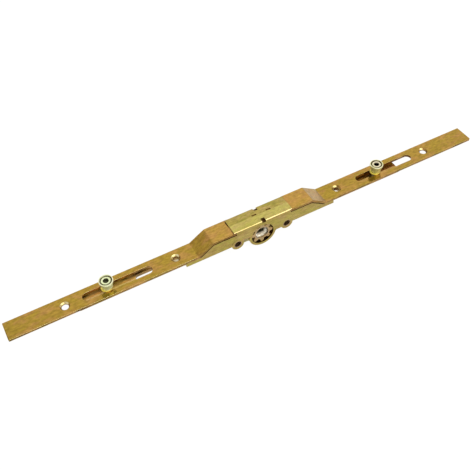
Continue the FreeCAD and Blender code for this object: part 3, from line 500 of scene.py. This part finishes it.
def from_axis(centre, compare, limit_mm, axis="Z"):
    """Makes a mask from the distance to the line through centre along an axis."""
    def mask(tree):
        distance = place_group(tree, axis_distance, Axis_Point=centre, Across=ACROSS[axis])["Distance"]
        return compare(tree, distance, limit_mm)
    return mask


print("mask groups:", surface_lean.name, axis_distance.name)

# %% [markdown]
# ## One recipe for every plated piece
#
# The pieces differ in colour, grain and gloss, but they are all plated steel, so they share one
# recipe: film colour, darkened by grain, by dirt and by painted shade, brightened at the edges.
# Clean film is a metal. Dirt and painted shade are a brown coat that is no metal, so they turn the
# metallic value down, and a corner stays brown instead of going black. What is the same all over
# the surface stays a plain number on the shader, so that an export keeps it.

# %% Plated metal recipe
GRAIN_SHADOW = tint(0.80, 0.78, 0.74)
GRIME_AND_SHADE_METAL_LOSS = 0.8
GRIME_AND_SHADE_ROUGHNESS = 0.25
GRIME_AND_SHADE_BROWN = tint(0.42, 0.22, 0.05)
WORN_ZINC = tint(0.90, 0.84, 0.60)
RELIEF_STRENGTH = 0.5
RELIEF_MM = 0.02


def plated_metal(name, gold, olive, rose, *, blotches=100.0, olive_amount=0.6, rose_amount=0.5,
                 shade_amount=0.15, grain="rolled", grain_depth=0.25, ring_centre=(0.0, 0.0, 0.0),
                 ring_axis="Z", gloss=(0.2, 0.34), wear_amount=0.5, grime_and_shade_colour=GRIME_AND_SHADE_BROWN,
                 grime_and_shade_reach=0.003, grime_and_shade_start=0.7, grime_and_shade_amount=0.9, metal=1.0, places=()):
    """A plated finish; places holds pairs of a mask's maker and the colour it brings.

    A later place lies over an earlier one. gloss is the roughness without and with marks, and
    the reach of the dirt and painted shade is in metres.
    """
    material = bpy.data.materials.new(name)
    material.use_nodes = True
    tree = material.node_tree
    shader = tree.nodes["Principled BSDF"]
    base = gold
    for make_mask, colour in places:
        base = mix_colours(tree, make_mask(tree), base, colour)
    base = place_group(tree, film, Gold=base, Olive=olive, Rose=rose, Blotch_Scale=blotches,
                       Olive_Amount=olive_amount, Rose_Amount=rose_amount,
                       Shade_Amount=shade_amount)["Color"]
    if grain == "rolled":
        lines = place_group(tree, rolled)
        line_value = lines["Streaks"]
    else:
        lines = place_group(tree, turned, Axis_Point=ring_centre,
                            Across=ACROSS[ring_axis], Along=ALONG[ring_axis])
        line_value = lines["Rings"]
    shadowed = mix_colours(tree, 1.0, base, GRAIN_SHADOW, "MULTIPLY")
    base = mix_colours(tree, maths(tree, "MULTIPLY", line_value, grain_depth), base, shadowed)
    rubbed = place_group(tree, wear, Amount=wear_amount)["Mask"]
    base = mix_colours(tree, rubbed, base, WORN_ZINC)
    # Corners that see little of the sky turn brown and less metallic: dirt, and painted shade.
    found = place_group(tree, grime_and_shade, Reach=grime_and_shade_reach, Start=grime_and_shade_start)["Mask"]
    dirty_and_shaded = maths(tree, "MULTIPLY", found, grime_and_shade_amount)
    feed(tree, mix_colours(tree, dirty_and_shaded, base, grime_and_shade_colour), shader.inputs["Base Color"])
    metallic = maths(tree, "MULTIPLY_ADD", dirty_and_shaded, -GRIME_AND_SHADE_METAL_LOSS * metal, metal)
    feed(tree, metallic, shader.inputs["Metallic"])
    smears = place_group(tree, marks)["Marks"]
    rough = maths(tree, "MULTIPLY_ADD", smears, gloss[1] - gloss[0], gloss[0])
    dull = maths(tree, "MULTIPLY_ADD", dirty_and_shaded, GRIME_AND_SHADE_ROUGHNESS, rough)
    feed(tree, dull, shader.inputs["Roughness"])
    relief = tree.nodes.new("ShaderNodeBump")
    relief.inputs["Strength"].default_value = RELIEF_STRENGTH
    relief.inputs["Distance"].default_value = RELIEF_MM / MM_PER_METRE
    feed(tree, lines["Height"], relief.inputs["Height"])
    feed(tree, relief.outputs[0], shader.inputs["Normal"])
    print("finish:", name, "nodes:", len(tree.nodes))
    return material


print("groups in the recipe:", [group.name for group in (film, rolled, turned, wear, grime_and_shade, marks)])

# %% [markdown]
# ## The finishes
#
# The faceplates are gold-bronze strip, rosier on the raised part. Their slot walls and the seams
# beside the cap are painted brown as painted shade, and the far side of each countersink is
# painted pale as a painted highlight, because it looks to the front and mirrors the lamp there.
# So is the front edge of the left strip.

# %% Places on the faceplates
CREAM = tint(0.95, 0.90, 0.72)
# A brown that stands for oil and also for painted shade in seams, under edges and in bores.
OIL_AND_SHADE_BROWN = tint(0.20, 0.10, 0.03)
RAMP_START_MM = 58
RAMP_END_MM = 40
RAISED_MM = 10.25
SINK_REACH_MM = 5
SLOT_REACH_MM = 4.5
REAR_EDGE_MM = 7
RAISED_SIDE_MM = 5.5
SEAM_LEVEL_MM = 12.5
LEFT_SEAM_MM = -25.1
RIGHT_SEAM_MM = 26.5
# How far a surface looks to a side: where its mask starts, and where it is full
STEEPLY_FRONT = (-0.5, -0.66)
SLIGHTLY_FRONT = (-0.12, -0.3)
REARWARD = (0.2, 0.4)
DOWNWARD = (-0.05, -0.25)
NOT_FLAT_UNDERSIDE = (-0.98, -0.9)

raised_part = at("Z", more_than, RAISED_MM, soft_mm=2.25)
# The left ramp is painted darker and the right ramp lighter, as painted shade and painted light on two
# slopes that face the lamps differently.
left_ramp = overlap(slanted, at("X", more_than, -RAMP_START_MM), at("X", less_than, -RAMP_END_MM))
right_ramp = overlap(slanted, at("X", less_than, RAMP_START_MM), at("X", more_than, RAMP_END_MM))
past_ramp = off_middle("X", more_than, RAMP_START_MM)
# The countersinks are painted darker brown as painted shade in the recess.
sunk_rims = overlap(slanted, past_ramp, off_middle("Y", less_than, SINK_REACH_MM))
# Painted highlight: the far side of each countersink and the front edge of the left strip are painted
# pale, as the front lamp mirrored there.
lamp_highlight_rims = overlap(sunk_rims, looking("Y", *STEEPLY_FRONT))
lamp_highlight_edge = overlap(slanted, at("X", less_than, -RAMP_START_MM), looking("Y", *SLIGHTLY_FRONT))
# Rounded rear edges are painted darker, as painted shade on edges that turn away from the lamps.
rear_edges = overlap(slanted, looking("Y", *REARWARD), at("Y", more_than, REAR_EDGE_MM, soft_mm=0.3))
# Edges that face down are painted dark brown as painted shade under the strip.
under_edges = overlap(looking("Z", *DOWNWARD), looking("Z", *NOT_FLAT_UNDERSIDE))
# The strips' side faces are painted darker brown: partly the bare sheared edge, partly painted shade
# along the seam and the lower edge.
high_sides = overlap(upright, at("Z", more_than, RAISED_SIDE_MM, soft_mm=0.4))
low_sides = overlap(upright, at("Z", less_than, RAISED_SIDE_MM, soft_mm=0.4))
# The walls of the slots and holes are painted dark brown as painted shade.
slot_walls = overlap(upright, off_middle("Y", less_than, SLOT_REACH_MM), past_ramp)
on_raised_top = at("Z", more_than, SEAM_LEVEL_MM)
# The seams beside the cap's ends are painted brown as painted shade in the gaps.
left_cap_seam = overlap(at("X", more_than, LEFT_SEAM_MM), at("X", less_than, 0), on_raised_top)
right_cap_seam = overlap(at("X", less_than, RIGHT_SEAM_MM), at("X", more_than, 0), on_raised_top)
print("seams beside the cap, x in mm:", LEFT_SEAM_MM, RIGHT_SEAM_MM)

# %% Faceplate finish
# A finish is given three tints for its film, how strong each effect is, and its places' colours.
faceplate_finish = plated_metal(
    "faceplate_gold", tint(0.65, 0.525, 0.22), tint(0.65, 0.55, 0.20), tint(0.72, 0.54, 0.31),
    blotches=110.0, olive_amount=0.5, rose_amount=0.65, shade_amount=0.18, gloss=(0.14, 0.26),
    grain_depth=0.35, grime_and_shade_reach=0.0035, grime_and_shade_start=0.62,
    places=[(raised_part, tint(0.72, 0.565, 0.28)), (left_ramp, tint(0.60, 0.46, 0.19)),
            (right_ramp, tint(0.72, 0.60, 0.40)), (high_sides, tint(0.52, 0.37, 0.17)),
            (low_sides, tint(0.42, 0.31, 0.12)), (sunk_rims, tint(0.46, 0.33, 0.12)),
            (lamp_highlight_edge, CREAM), (lamp_highlight_rims, tint(0.86, 0.78, 0.56)),
            (rear_edges, tint(0.40, 0.32, 0.14)), (under_edges, OIL_AND_SHADE_BROWN),
            (slot_walls, tint(0.30, 0.15, 0.03)), (left_cap_seam, OIL_AND_SHADE_BROWN),
            (right_cap_seam, tint(0.52, 0.38, 0.16))])

# %% [markdown]
# ## The case
#
# The case is a greener yellow than the strips. Its two halves get separate finishes, because the
# front half is paler, with a cream line along its cap, which is a painted highlight of the front
# lamp, and a sunk field beside the left screw. The upward faces below the cap lie in the seam
# under the faceplate and are painted brown, for oil and as painted shade in the seam.

# %% Places on the case
UPWARD = (0.1, 0.3)
UNDER_CAP_MM = 12.6
CAP_EDGE_MM = 6.9
FIELD_LEFT_MM = -17.5
FIELD_RIGHT_MM = -10.5
FIELD_LOW_MM = 2.15
FIELD_TOP_MM = 2.7
FIELD_DEPTH_MM = 7.6
# The wing tops in the seam under the faceplate are painted brown: oil, and painted shade.
wing_tops = overlap(looking("Z", *UPWARD), at("Z", less_than, UNDER_CAP_MM))
# The rounded cap edges are painted cream as a painted highlight of the front lamp.
cap_edge_highlight = overlap(slanted, off_middle("Y", more_than, CAP_EDGE_MM), at("Z", more_than, SEAM_LEVEL_MM))
across_field = overlap(at("X", more_than, FIELD_LEFT_MM), at("X", less_than, FIELD_RIGHT_MM))
field_edge = overlap(across_field, at("Z", more_than, FIELD_LOW_MM), at("Z", less_than, FIELD_TOP_MM))
# The sunk field's floor is painted darker and greyer, as painted shade in the recess.
field_floor = overlap(
    across_field, off_middle("Y", less_than, FIELD_DEPTH_MM), at("Z", less_than, FIELD_LOW_MM))
print("sunk field, x in mm:", FIELD_LEFT_MM, FIELD_RIGHT_MM)

# %% Case finishes
# The front half's upright faces are painted darker than its top, as painted shade.
case_front_finish = plated_metal(
    "case_front_yellow", tint(0.73, 0.68, 0.37), tint(0.68, 0.65, 0.29), tint(0.74, 0.62, 0.42),
    blotches=130.0, olive_amount=0.55, rose_amount=0.35, shade_amount=0.14, gloss=(0.2, 0.34),
    wear_amount=0.25,
    places=[(upright, tint(0.65, 0.56, 0.29)), (cap_edge_highlight, tint(0.91, 0.80, 0.56)),
            (wing_tops, OIL_AND_SHADE_BROWN), (field_edge, tint(0.78, 0.58, 0.42)),
            (field_floor, tint(0.54, 0.50, 0.38))])
case_back_finish = plated_metal(
    "case_back_olive", tint(0.66, 0.59, 0.30), tint(0.59, 0.56, 0.25), tint(0.73, 0.61, 0.42),
    blotches=130.0, olive_amount=0.7, rose_amount=0.5, shade_amount=0.18, gloss=(0.24, 0.38),
    wear_amount=0.2, places=[(wing_tops, OIL_AND_SHADE_BROWN)])

# %% [markdown]
# ## The pinion and the small parts
#
# The pinion's recess is turned, and it is painted near white as painted light on its lit lower
# wall. The upper part of its wall and a ring at its mouth are painted dark brown as painted shade,
# and the square hole behind it is painted dark as painted shade. The bores of the sleeves are
# painted pale at their mouths as painted light, and brown deeper in as painted shade. The two
# bushes, where a screw goes through, have their bores painted dark above as painted shade and near
# white at the foot as painted light. The rods lie in the shade of the slots, and their rear half
# is painted dark brown as painted shade.

# %% Places on the pinion and the small parts
SPINDLE_AXIS = (0.0, 0.0, 0.0)
# Distances from the spindle axis
RECESS_REACH_MM = 5.8
WALL_INNER_MM = 5.3
WALL_OUTER_MM = 5.75
HOLE_REACH_MM = 5.35
# Distances from the middle of the case's thickness
HOLE_START_MM = 3.0
MOUTH_RING_MM = 5.6
BORE_MOUTH_MM = 6.9
SHADED_REAR_MM = 2.7
# Heights, and how far a surface looks to a side
SHADED_LEVEL_MM = -1.2
TOP_OF_ROD = (0.4, 0.7)
NOT_TO_FRONT = (0.6, 0.4)
# The recess is painted near white as painted light on its lit lower wall.
recess = overlap(
    from_axis(SPINDLE_AXIS, less_than, RECESS_REACH_MM, axis="Y"),
    off_middle("Y", more_than, HOLE_START_MM, soft_mm=0.6))
# The deep square hole is painted dark as painted shade.
hole_depths = overlap(
    from_axis(SPINDLE_AXIS, less_than, HOLE_REACH_MM, axis="Y"),
    off_middle("Y", less_than, HOLE_START_MM, soft_mm=0.6))


def shaded_recess_part(tree):
    """The upper part of the recess and a ring at its mouth, which are painted as shade."""
    upper = more_than(tree, along(tree, "Z"), SHADED_LEVEL_MM, soft_mm=0.6)
    mouth_ring = more_than(tree, size_of(tree, along(tree, "Y")), MOUTH_RING_MM, soft_mm=0.2)
    return maths(tree, "MAXIMUM", upper, mouth_ring)


def bore(tree):
    """1 on the wall of a hole that runs along Y."""
    return spread(tree, size_of(tree, facing(tree, "Y")), *NOT_TO_FRONT)


# The upper part of the recess wall and a ring at its mouth are painted dark brown as painted shade.
recess_wall = overlap(
    from_axis(SPINDLE_AXIS, more_than, WALL_INNER_MM, axis="Y"),
    from_axis(SPINDLE_AXIS, less_than, WALL_OUTER_MM, axis="Y"), shaded_recess_part)
# The sleeve bores are painted pale near the mouth as painted light; deeper in they turn brown as
# painted shade.
lit_bore_mouth = overlap(bore, off_middle("Y", more_than, BORE_MOUTH_MM, soft_mm=0.3))
# The rear half of each rod's top is painted dark brown as painted shade under the slot's back wall.
shaded_rear_half = overlap(looking("Z", *TOP_OF_ROD), at("Y", more_than, SHADED_REAR_MM, soft_mm=0.6))
print("recess wall from and to, in mm from the spindle axis:", WALL_INNER_MM, WALL_OUTER_MM)

# %% Pinion, rod and rack finishes
SIDES = ("left", "right")
pinion_finish = plated_metal(
    "pinion_bronze", tint(0.76, 0.62, 0.38), tint(0.68, 0.60, 0.36), tint(0.76, 0.58, 0.38),
    blotches=200.0, grain="turned", ring_axis="Y", gloss=(0.2, 0.34), metal=0.1, grime_and_shade_reach=0.001,
    grime_and_shade_amount=0.4,
    places=[(hole_depths, tint(0.20, 0.21, 0.13)), (recess, tint(0.99, 0.98, 0.92)),
            (recess_wall, tint(0.24, 0.14, 0.05))])
ROD_TINTS = {
    "left": (tint(0.84, 0.70, 0.36), tint(0.81, 0.70, 0.32), tint(0.86, 0.67, 0.41)),
    "right": (tint(0.70, 0.56, 0.30), tint(0.68, 0.57, 0.27), tint(0.72, 0.55, 0.34)),
}
ROD_METAL = {"left": 0.4, "right": 0.95}
rod_finish = {}
for side in SIDES:
    rod_finish[side] = plated_metal(
        f"rod_{side}_bronze", *ROD_TINTS[side], blotches=90.0, gloss=(0.10, 0.18), grain_depth=0.35,
        metal=ROD_METAL[side], grime_and_shade_reach=0.0015, grime_and_shade_start=0.4, grime_and_shade_amount=0.3,
        places=[(upright, tint(0.50, 0.34, 0.16)), (shaded_rear_half, tint(0.22, 0.10, 0.02))])
rack_finish = plated_metal(
    "rack_bronze", tint(0.58, 0.46, 0.22), tint(0.56, 0.50, 0.24), tint(0.56, 0.42, 0.26),
    blotches=120.0, gloss=(0.3, 0.46), places=[(upright, tint(0.42, 0.34, 0.2))])

# %% Sleeve, bush and small part finishes
SMALL_PART_TINTS = (tint(0.70, 0.60, 0.34), tint(0.64, 0.58, 0.32), tint(0.70, 0.54, 0.34))
BUSH_BORE_MM = 2.4
BUSH_FOOT_MM = 0.6
sleeve_finish = plated_metal(
    "sleeve_bronze", tint(0.64, 0.52, 0.36), tint(0.60, 0.52, 0.34), tint(0.68, 0.54, 0.42),
    blotches=200.0, grain="turned", ring_axis="Y", gloss=(0.25, 0.4), grime_and_shade_reach=0.006,
    grime_and_shade_start=0.4, grime_and_shade_colour=OIL_AND_SHADE_BROWN,
    places=[(lit_bore_mouth, tint(0.94, 0.90, 0.86))])
small_part_finish = plated_metal(
    "small_part_gold", *SMALL_PART_TINTS, blotches=200.0, grain="turned", gloss=(0.25, 0.4))
bush_finish = {}
for side in SIDES:
    low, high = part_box(f"guide_bush_{side}")
    centre = tuple((low + high) / 2)
    # In each bush the bore is painted dark above as painted shade, and near white at its foot as
    # painted light where the floor shows through.
    bush_bore = from_axis(centre, less_than, BUSH_BORE_MM)
    shaded_bore_top = overlap(bush_bore, at("Z", more_than, BUSH_FOOT_MM, soft_mm=0.3))
    lit_bore_foot = overlap(bush_bore, at("Z", less_than, BUSH_FOOT_MM, soft_mm=0.3))
    bush_finish[side] = plated_metal(
        f"bush_{side}_gold", *SMALL_PART_TINTS, blotches=200.0, grain="turned", ring_centre=centre,
        gloss=(0.15, 0.3), grime_and_shade_amount=0.15,
        places=[(shaded_bore_top, tint(0.30, 0.19, 0.07)), (lit_bore_foot, tint(0.98, 0.96, 0.92))])

# %% [markdown]
# ## The rollers
#
# The rollers and the studs are pale and greenish, the collars a strong yellow. Their film is
# milky, so they are only partly metal. The groove between a roller's lip and its stud is painted
# dark olive, and the hexagon socket in the stud's head is painted dark brown as painted shade.

# %% Roller, stud and collar finishes
ROLLER_TINTS = {
    "left": (tint(0.90, 0.94, 0.74), tint(0.86, 0.90, 0.64), tint(0.92, 0.92, 0.78)),
    "right": (tint(0.82, 0.80, 0.50), tint(0.78, 0.79, 0.44), tint(0.84, 0.80, 0.62)),
}
STUD_TINTS = {
    "left": ROLLER_TINTS["left"],
    "right": (tint(0.90, 0.86, 0.72), tint(0.86, 0.84, 0.66), tint(0.92, 0.86, 0.76)),
}
RIM_CREAM = tint(0.95, 0.93, 0.78)
GROOVE_OLIVE = tint(0.27, 0.24, 0.08)
SOCKET_SHADE_BROWN = tint(0.14, 0.12, 0.03)
COLLAR_TINTS = (tint(0.97, 0.88, 0.34), tint(0.94, 0.88, 0.30), tint(0.97, 0.86, 0.46))
LIP_RADIUS_MM = 4.65
LIP_LEVEL_MM = 12.9
GROOVE_LEVEL_MM = 11.5
HEAD_EDGE_MM = 3.35
SOCKET_REACH_MM = 2.25
roller_finish = {}
stud_finish = {}
collar_finish = {}
for side in SIDES:
    low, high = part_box(f"roller_{side}")
    centre = tuple((low + high) / 2)
    lip_top = overlap(
        from_axis(centre, more_than, LIP_RADIUS_MM), at("Z", more_than, LIP_LEVEL_MM))
    groove = overlap(
        from_axis(centre, less_than, LIP_RADIUS_MM), at("Z", more_than, GROOVE_LEVEL_MM))
    head_edge = from_axis(centre, more_than, HEAD_EDGE_MM)
    # The hexagon socket is painted dark brown as painted shade inside it.
    socket = from_axis(centre, less_than, SOCKET_REACH_MM)
    roller_finish[side] = plated_metal(
        f"roller_{side}_zinc", *ROLLER_TINTS[side], blotches=260.0, grain="turned",
        ring_centre=centre, gloss=(0.16, 0.3), grain_depth=0.3, shade_amount=0.1, metal=0.3,
        grime_and_shade_reach=0.0014, grime_and_shade_colour=tint(0.36, 0.30, 0.10),
        places=[(lip_top, RIM_CREAM), (groove, GROOVE_OLIVE)])
    stud_finish[side] = plated_metal(
        f"stud_{side}_pale", *STUD_TINTS[side], blotches=300.0, grain="turned",
        ring_centre=centre, gloss=(0.2, 0.34), metal=0.6, grime_and_shade_reach=0.0035, grime_and_shade_start=0.5,
        grime_and_shade_colour=SOCKET_SHADE_BROWN,
        places=[(head_edge, GROOVE_OLIVE), (socket, SOCKET_SHADE_BROWN)])
    low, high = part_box(f"stud_collar_{side}")
    collar_finish[side] = plated_metal(
        f"collar_{side}_yellow", *COLLAR_TINTS, blotches=260.0, grain="turned",
        ring_centre=tuple((low + high) / 2), gloss=(0.14, 0.26), metal=0.2, grime_and_shade_reach=0.0015,
        grime_and_shade_amount=0.15)
print("finishes in all:", len(bpy.data.materials))

# %% [markdown]
# ## Softened edges
#
# No real edge is a knife. Strip is rounded a little by the plating and tumbling, and it is this
# narrow round that catches a bright line along the faceplate. A Bevel modifier does it without
# touching the CAD mesh. The CAD mesh arrives as triangles with doubled points, so a Weld joins
# the points and a planar Decimate joins the triangles of each flat face first.

# %% Edge softening
BEVEL_STEPS = 3
SHARP_ANGLE = math.radians(28)
FLAT_ANGLE = math.radians(0.5)
WELD_DISTANCE = 1e-6


def soften(piece, width_mm):
    """Rounds every sharp edge of a piece by a width in mm."""
    weld = piece.modifiers.new("join_points", "WELD")
    weld.merge_threshold = WELD_DISTANCE
    flat = piece.modifiers.new("join_flat_faces", "DECIMATE")
    flat.decimate_type = "DISSOLVE"
    flat.angle_limit = FLAT_ANGLE
    bevel = piece.modifiers.new("soft_edges", "BEVEL")
    bevel.width = width_mm / MM_PER_METRE
    bevel.segments = BEVEL_STEPS
    bevel.limit_method = "ANGLE"
    bevel.angle_limit = SHARP_ANGLE
    bevel.harden_normals = True
    bevel.use_clamp_overlap = True


def put_on(piece, material):
    """Gives every slot of a piece the same material."""
    if not piece.material_slots:
        piece.data.materials.append(material)
    for holder in piece.material_slots:
        holder.material = material


print("an edge is rounded where it turns by more than, in degrees:", round(math.degrees(SHARP_ANGLE)))

# %% Dress every node
# Each node's finish, and the width in mm of its rounded edges
NODE_FINISHES = {
    "faceplate_left": (faceplate_finish, 0.5),
    "faceplate_right": (faceplate_finish, 0.5),
    "case_front": (case_front_finish, 0.25),
    "case_back": (case_back_finish, 0.25),
    "drive_pinion": (pinion_finish, 0.15),
    "drive_rack": (rack_finish, 0.15),
}
for side in SIDES:
    NODE_FINISHES[f"screw_sleeve_{side}"] = (sleeve_finish, 0.15)
    NODE_FINISHES[f"guide_bush_{side}"] = (bush_finish[side], 0.1)
    NODE_FINISHES[f"rod_{side}"] = (rod_finish[side], 0.1)
    NODE_FINISHES[f"rod_rivets_{side}"] = (small_part_finish, 0.1)
    NODE_FINISHES[f"roller_stud_{side}"] = (stud_finish[side], 0.12)
    NODE_FINISHES[f"stud_collar_{side}"] = (collar_finish[side], 0.2)
    NODE_FINISHES[f"stud_washer_{side}"] = (small_part_finish, 0.1)
    NODE_FINISHES[f"roller_{side}"] = (roller_finish[side], 0.2)
for name, (material, width) in NODE_FINISHES.items():
    put_on(nodes[name], material)
    soften(nodes[name], width)
print("dressed nodes:", len(NODE_FINISHES), "of", len(nodes))

# %% [markdown]
# ## The floor and the white surround
#
# The photograph shows the bolt on pure white. A white that comes from lamps would burn out the
# metal, so the floor and the world glow white only for rays from the camera, from a reflection or
# through glass. The floor is also a plain matt surface, so that a soft shadow stays under the bolt.

# %% Floor
FLOOR_SIZE = 6.0
FLOOR_GLOW = 0.93
FLOOR_GREY = 0.12


def seen_directly(tree):
    """1 for rays from the camera, from a mirror-like reflection or through glass."""
    path = tree.nodes.new("ShaderNodeLightPath")
    seen = maths(tree, "MAXIMUM", path.outputs["Is Camera Ray"], path.outputs["Is Glossy Ray"])
    return maths(tree, "MAXIMUM", seen, path.outputs["Is Transmission Ray"])


floor_mesh = bpy.data.meshes.new("floor")
half = FLOOR_SIZE / 2
floor_z = cad_low.z
corners = [(x, y, floor_z) for x, y in ((-half, -half), (half, -half), (half, half), (-half, half))]
floor_mesh.from_pydata(corners, [], [(0, 1, 2, 3)])
floor = bpy.data.objects.new("floor", floor_mesh)
bpy.context.scene.collection.objects.link(floor)
floor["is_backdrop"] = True

floor_paint = bpy.data.materials.new("floor_white")
floor_paint.use_nodes = True
tree = floor_paint.node_tree
matt = tree.nodes["Principled BSDF"]
matt.inputs["Base Color"].default_value = (FLOOR_GREY, FLOOR_GREY, FLOOR_GREY, 1.0)
matt.inputs["Roughness"].default_value = 1.0
matt.inputs["Specular IOR Level"].default_value = 0.0
glow = tree.nodes.new("ShaderNodeEmission")
feed(tree, maths(tree, "MULTIPLY", seen_directly(tree), FLOOR_GLOW), glow.inputs["Strength"])
both = tree.nodes.new("ShaderNodeAddShader")
feed(tree, matt.outputs[0], both.inputs[0])
feed(tree, glow.outputs[0], both.inputs[1])
feed(tree, both.outputs[0], tree.nodes["Material Output"].inputs["Surface"])
floor_mesh.materials.append(floor_paint)
print("floor level in mm:", round(floor_z * MM_PER_METRE, 2))

# %% World
WORLD_LIGHT = 0.8
world = bpy.data.worlds.new("white_surround")
world.use_nodes = True
bpy.context.scene.world = world
tree = world.node_tree
sky = tree.nodes["Background"]
world_strength = spread(tree, seen_directly(tree), 0.0, 1.0, WORLD_LIGHT, 1.0)
feed(tree, world_strength, sky.inputs["Strength"])
sky.inputs["Color"].default_value = (1.0, 1.0, 1.0, 1.0)
print("world light on the bolt:", WORLD_LIGHT, "and as the camera sees it:", 1.0)

# %% [markdown]
# ## The lamps
#
# Shiny metal shows what stands around it. A large soft lamp behind and above is what the flat
# tops mirror to the camera, and makes them brighter than the slopes. A second one in front and
# above is what every rounded front edge mirrors, and draws the bright line along the case's cap.

# %% Lamps
def soft_lamp(name, direction, distance, width, height, radiance):
    """A rectangular lamp that points at the object and looks equally bright from everywhere."""
    data = bpy.data.lights.new(name, "AREA")
    data.shape = "RECTANGLE"
    data.size = width
    data.size_y = height
    data.energy = radiance * math.pi * width * height
    lamp = bpy.data.objects.new(name, data)
    away = Vector(direction).normalized()
    lamp.location = away * distance
    lamp.rotation_mode = "QUATERNION"
    lamp.rotation_quaternion = away.to_track_quat("Z", "Y")
    bpy.context.scene.collection.objects.link(lamp)
    print("lamp:", name, "watts:", round(data.energy, 2))


soft_lamp("top_lamp", direction=(0.30, 0.60, 0.74), distance=1.4, width=1.3, height=0.8, radiance=0.2)
soft_lamp("front_lamp", direction=(0.30, -0.743, 0.596), distance=1.3, width=1.5, height=1.3,
          radiance=1.7)
bpy.context.scene.view_settings.view_transform = "Standard"

# %% [markdown]
# ## Finish
#
# The size of the dressed model is printed, so that it can be compared with the CAD length
# printed at the start.

# %% Sizes and finish
look_low, look_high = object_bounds()
look_size = look_high - look_low
print("visual size in mm:", [round(length * MM_PER_METRE, 2) for length in look_size])
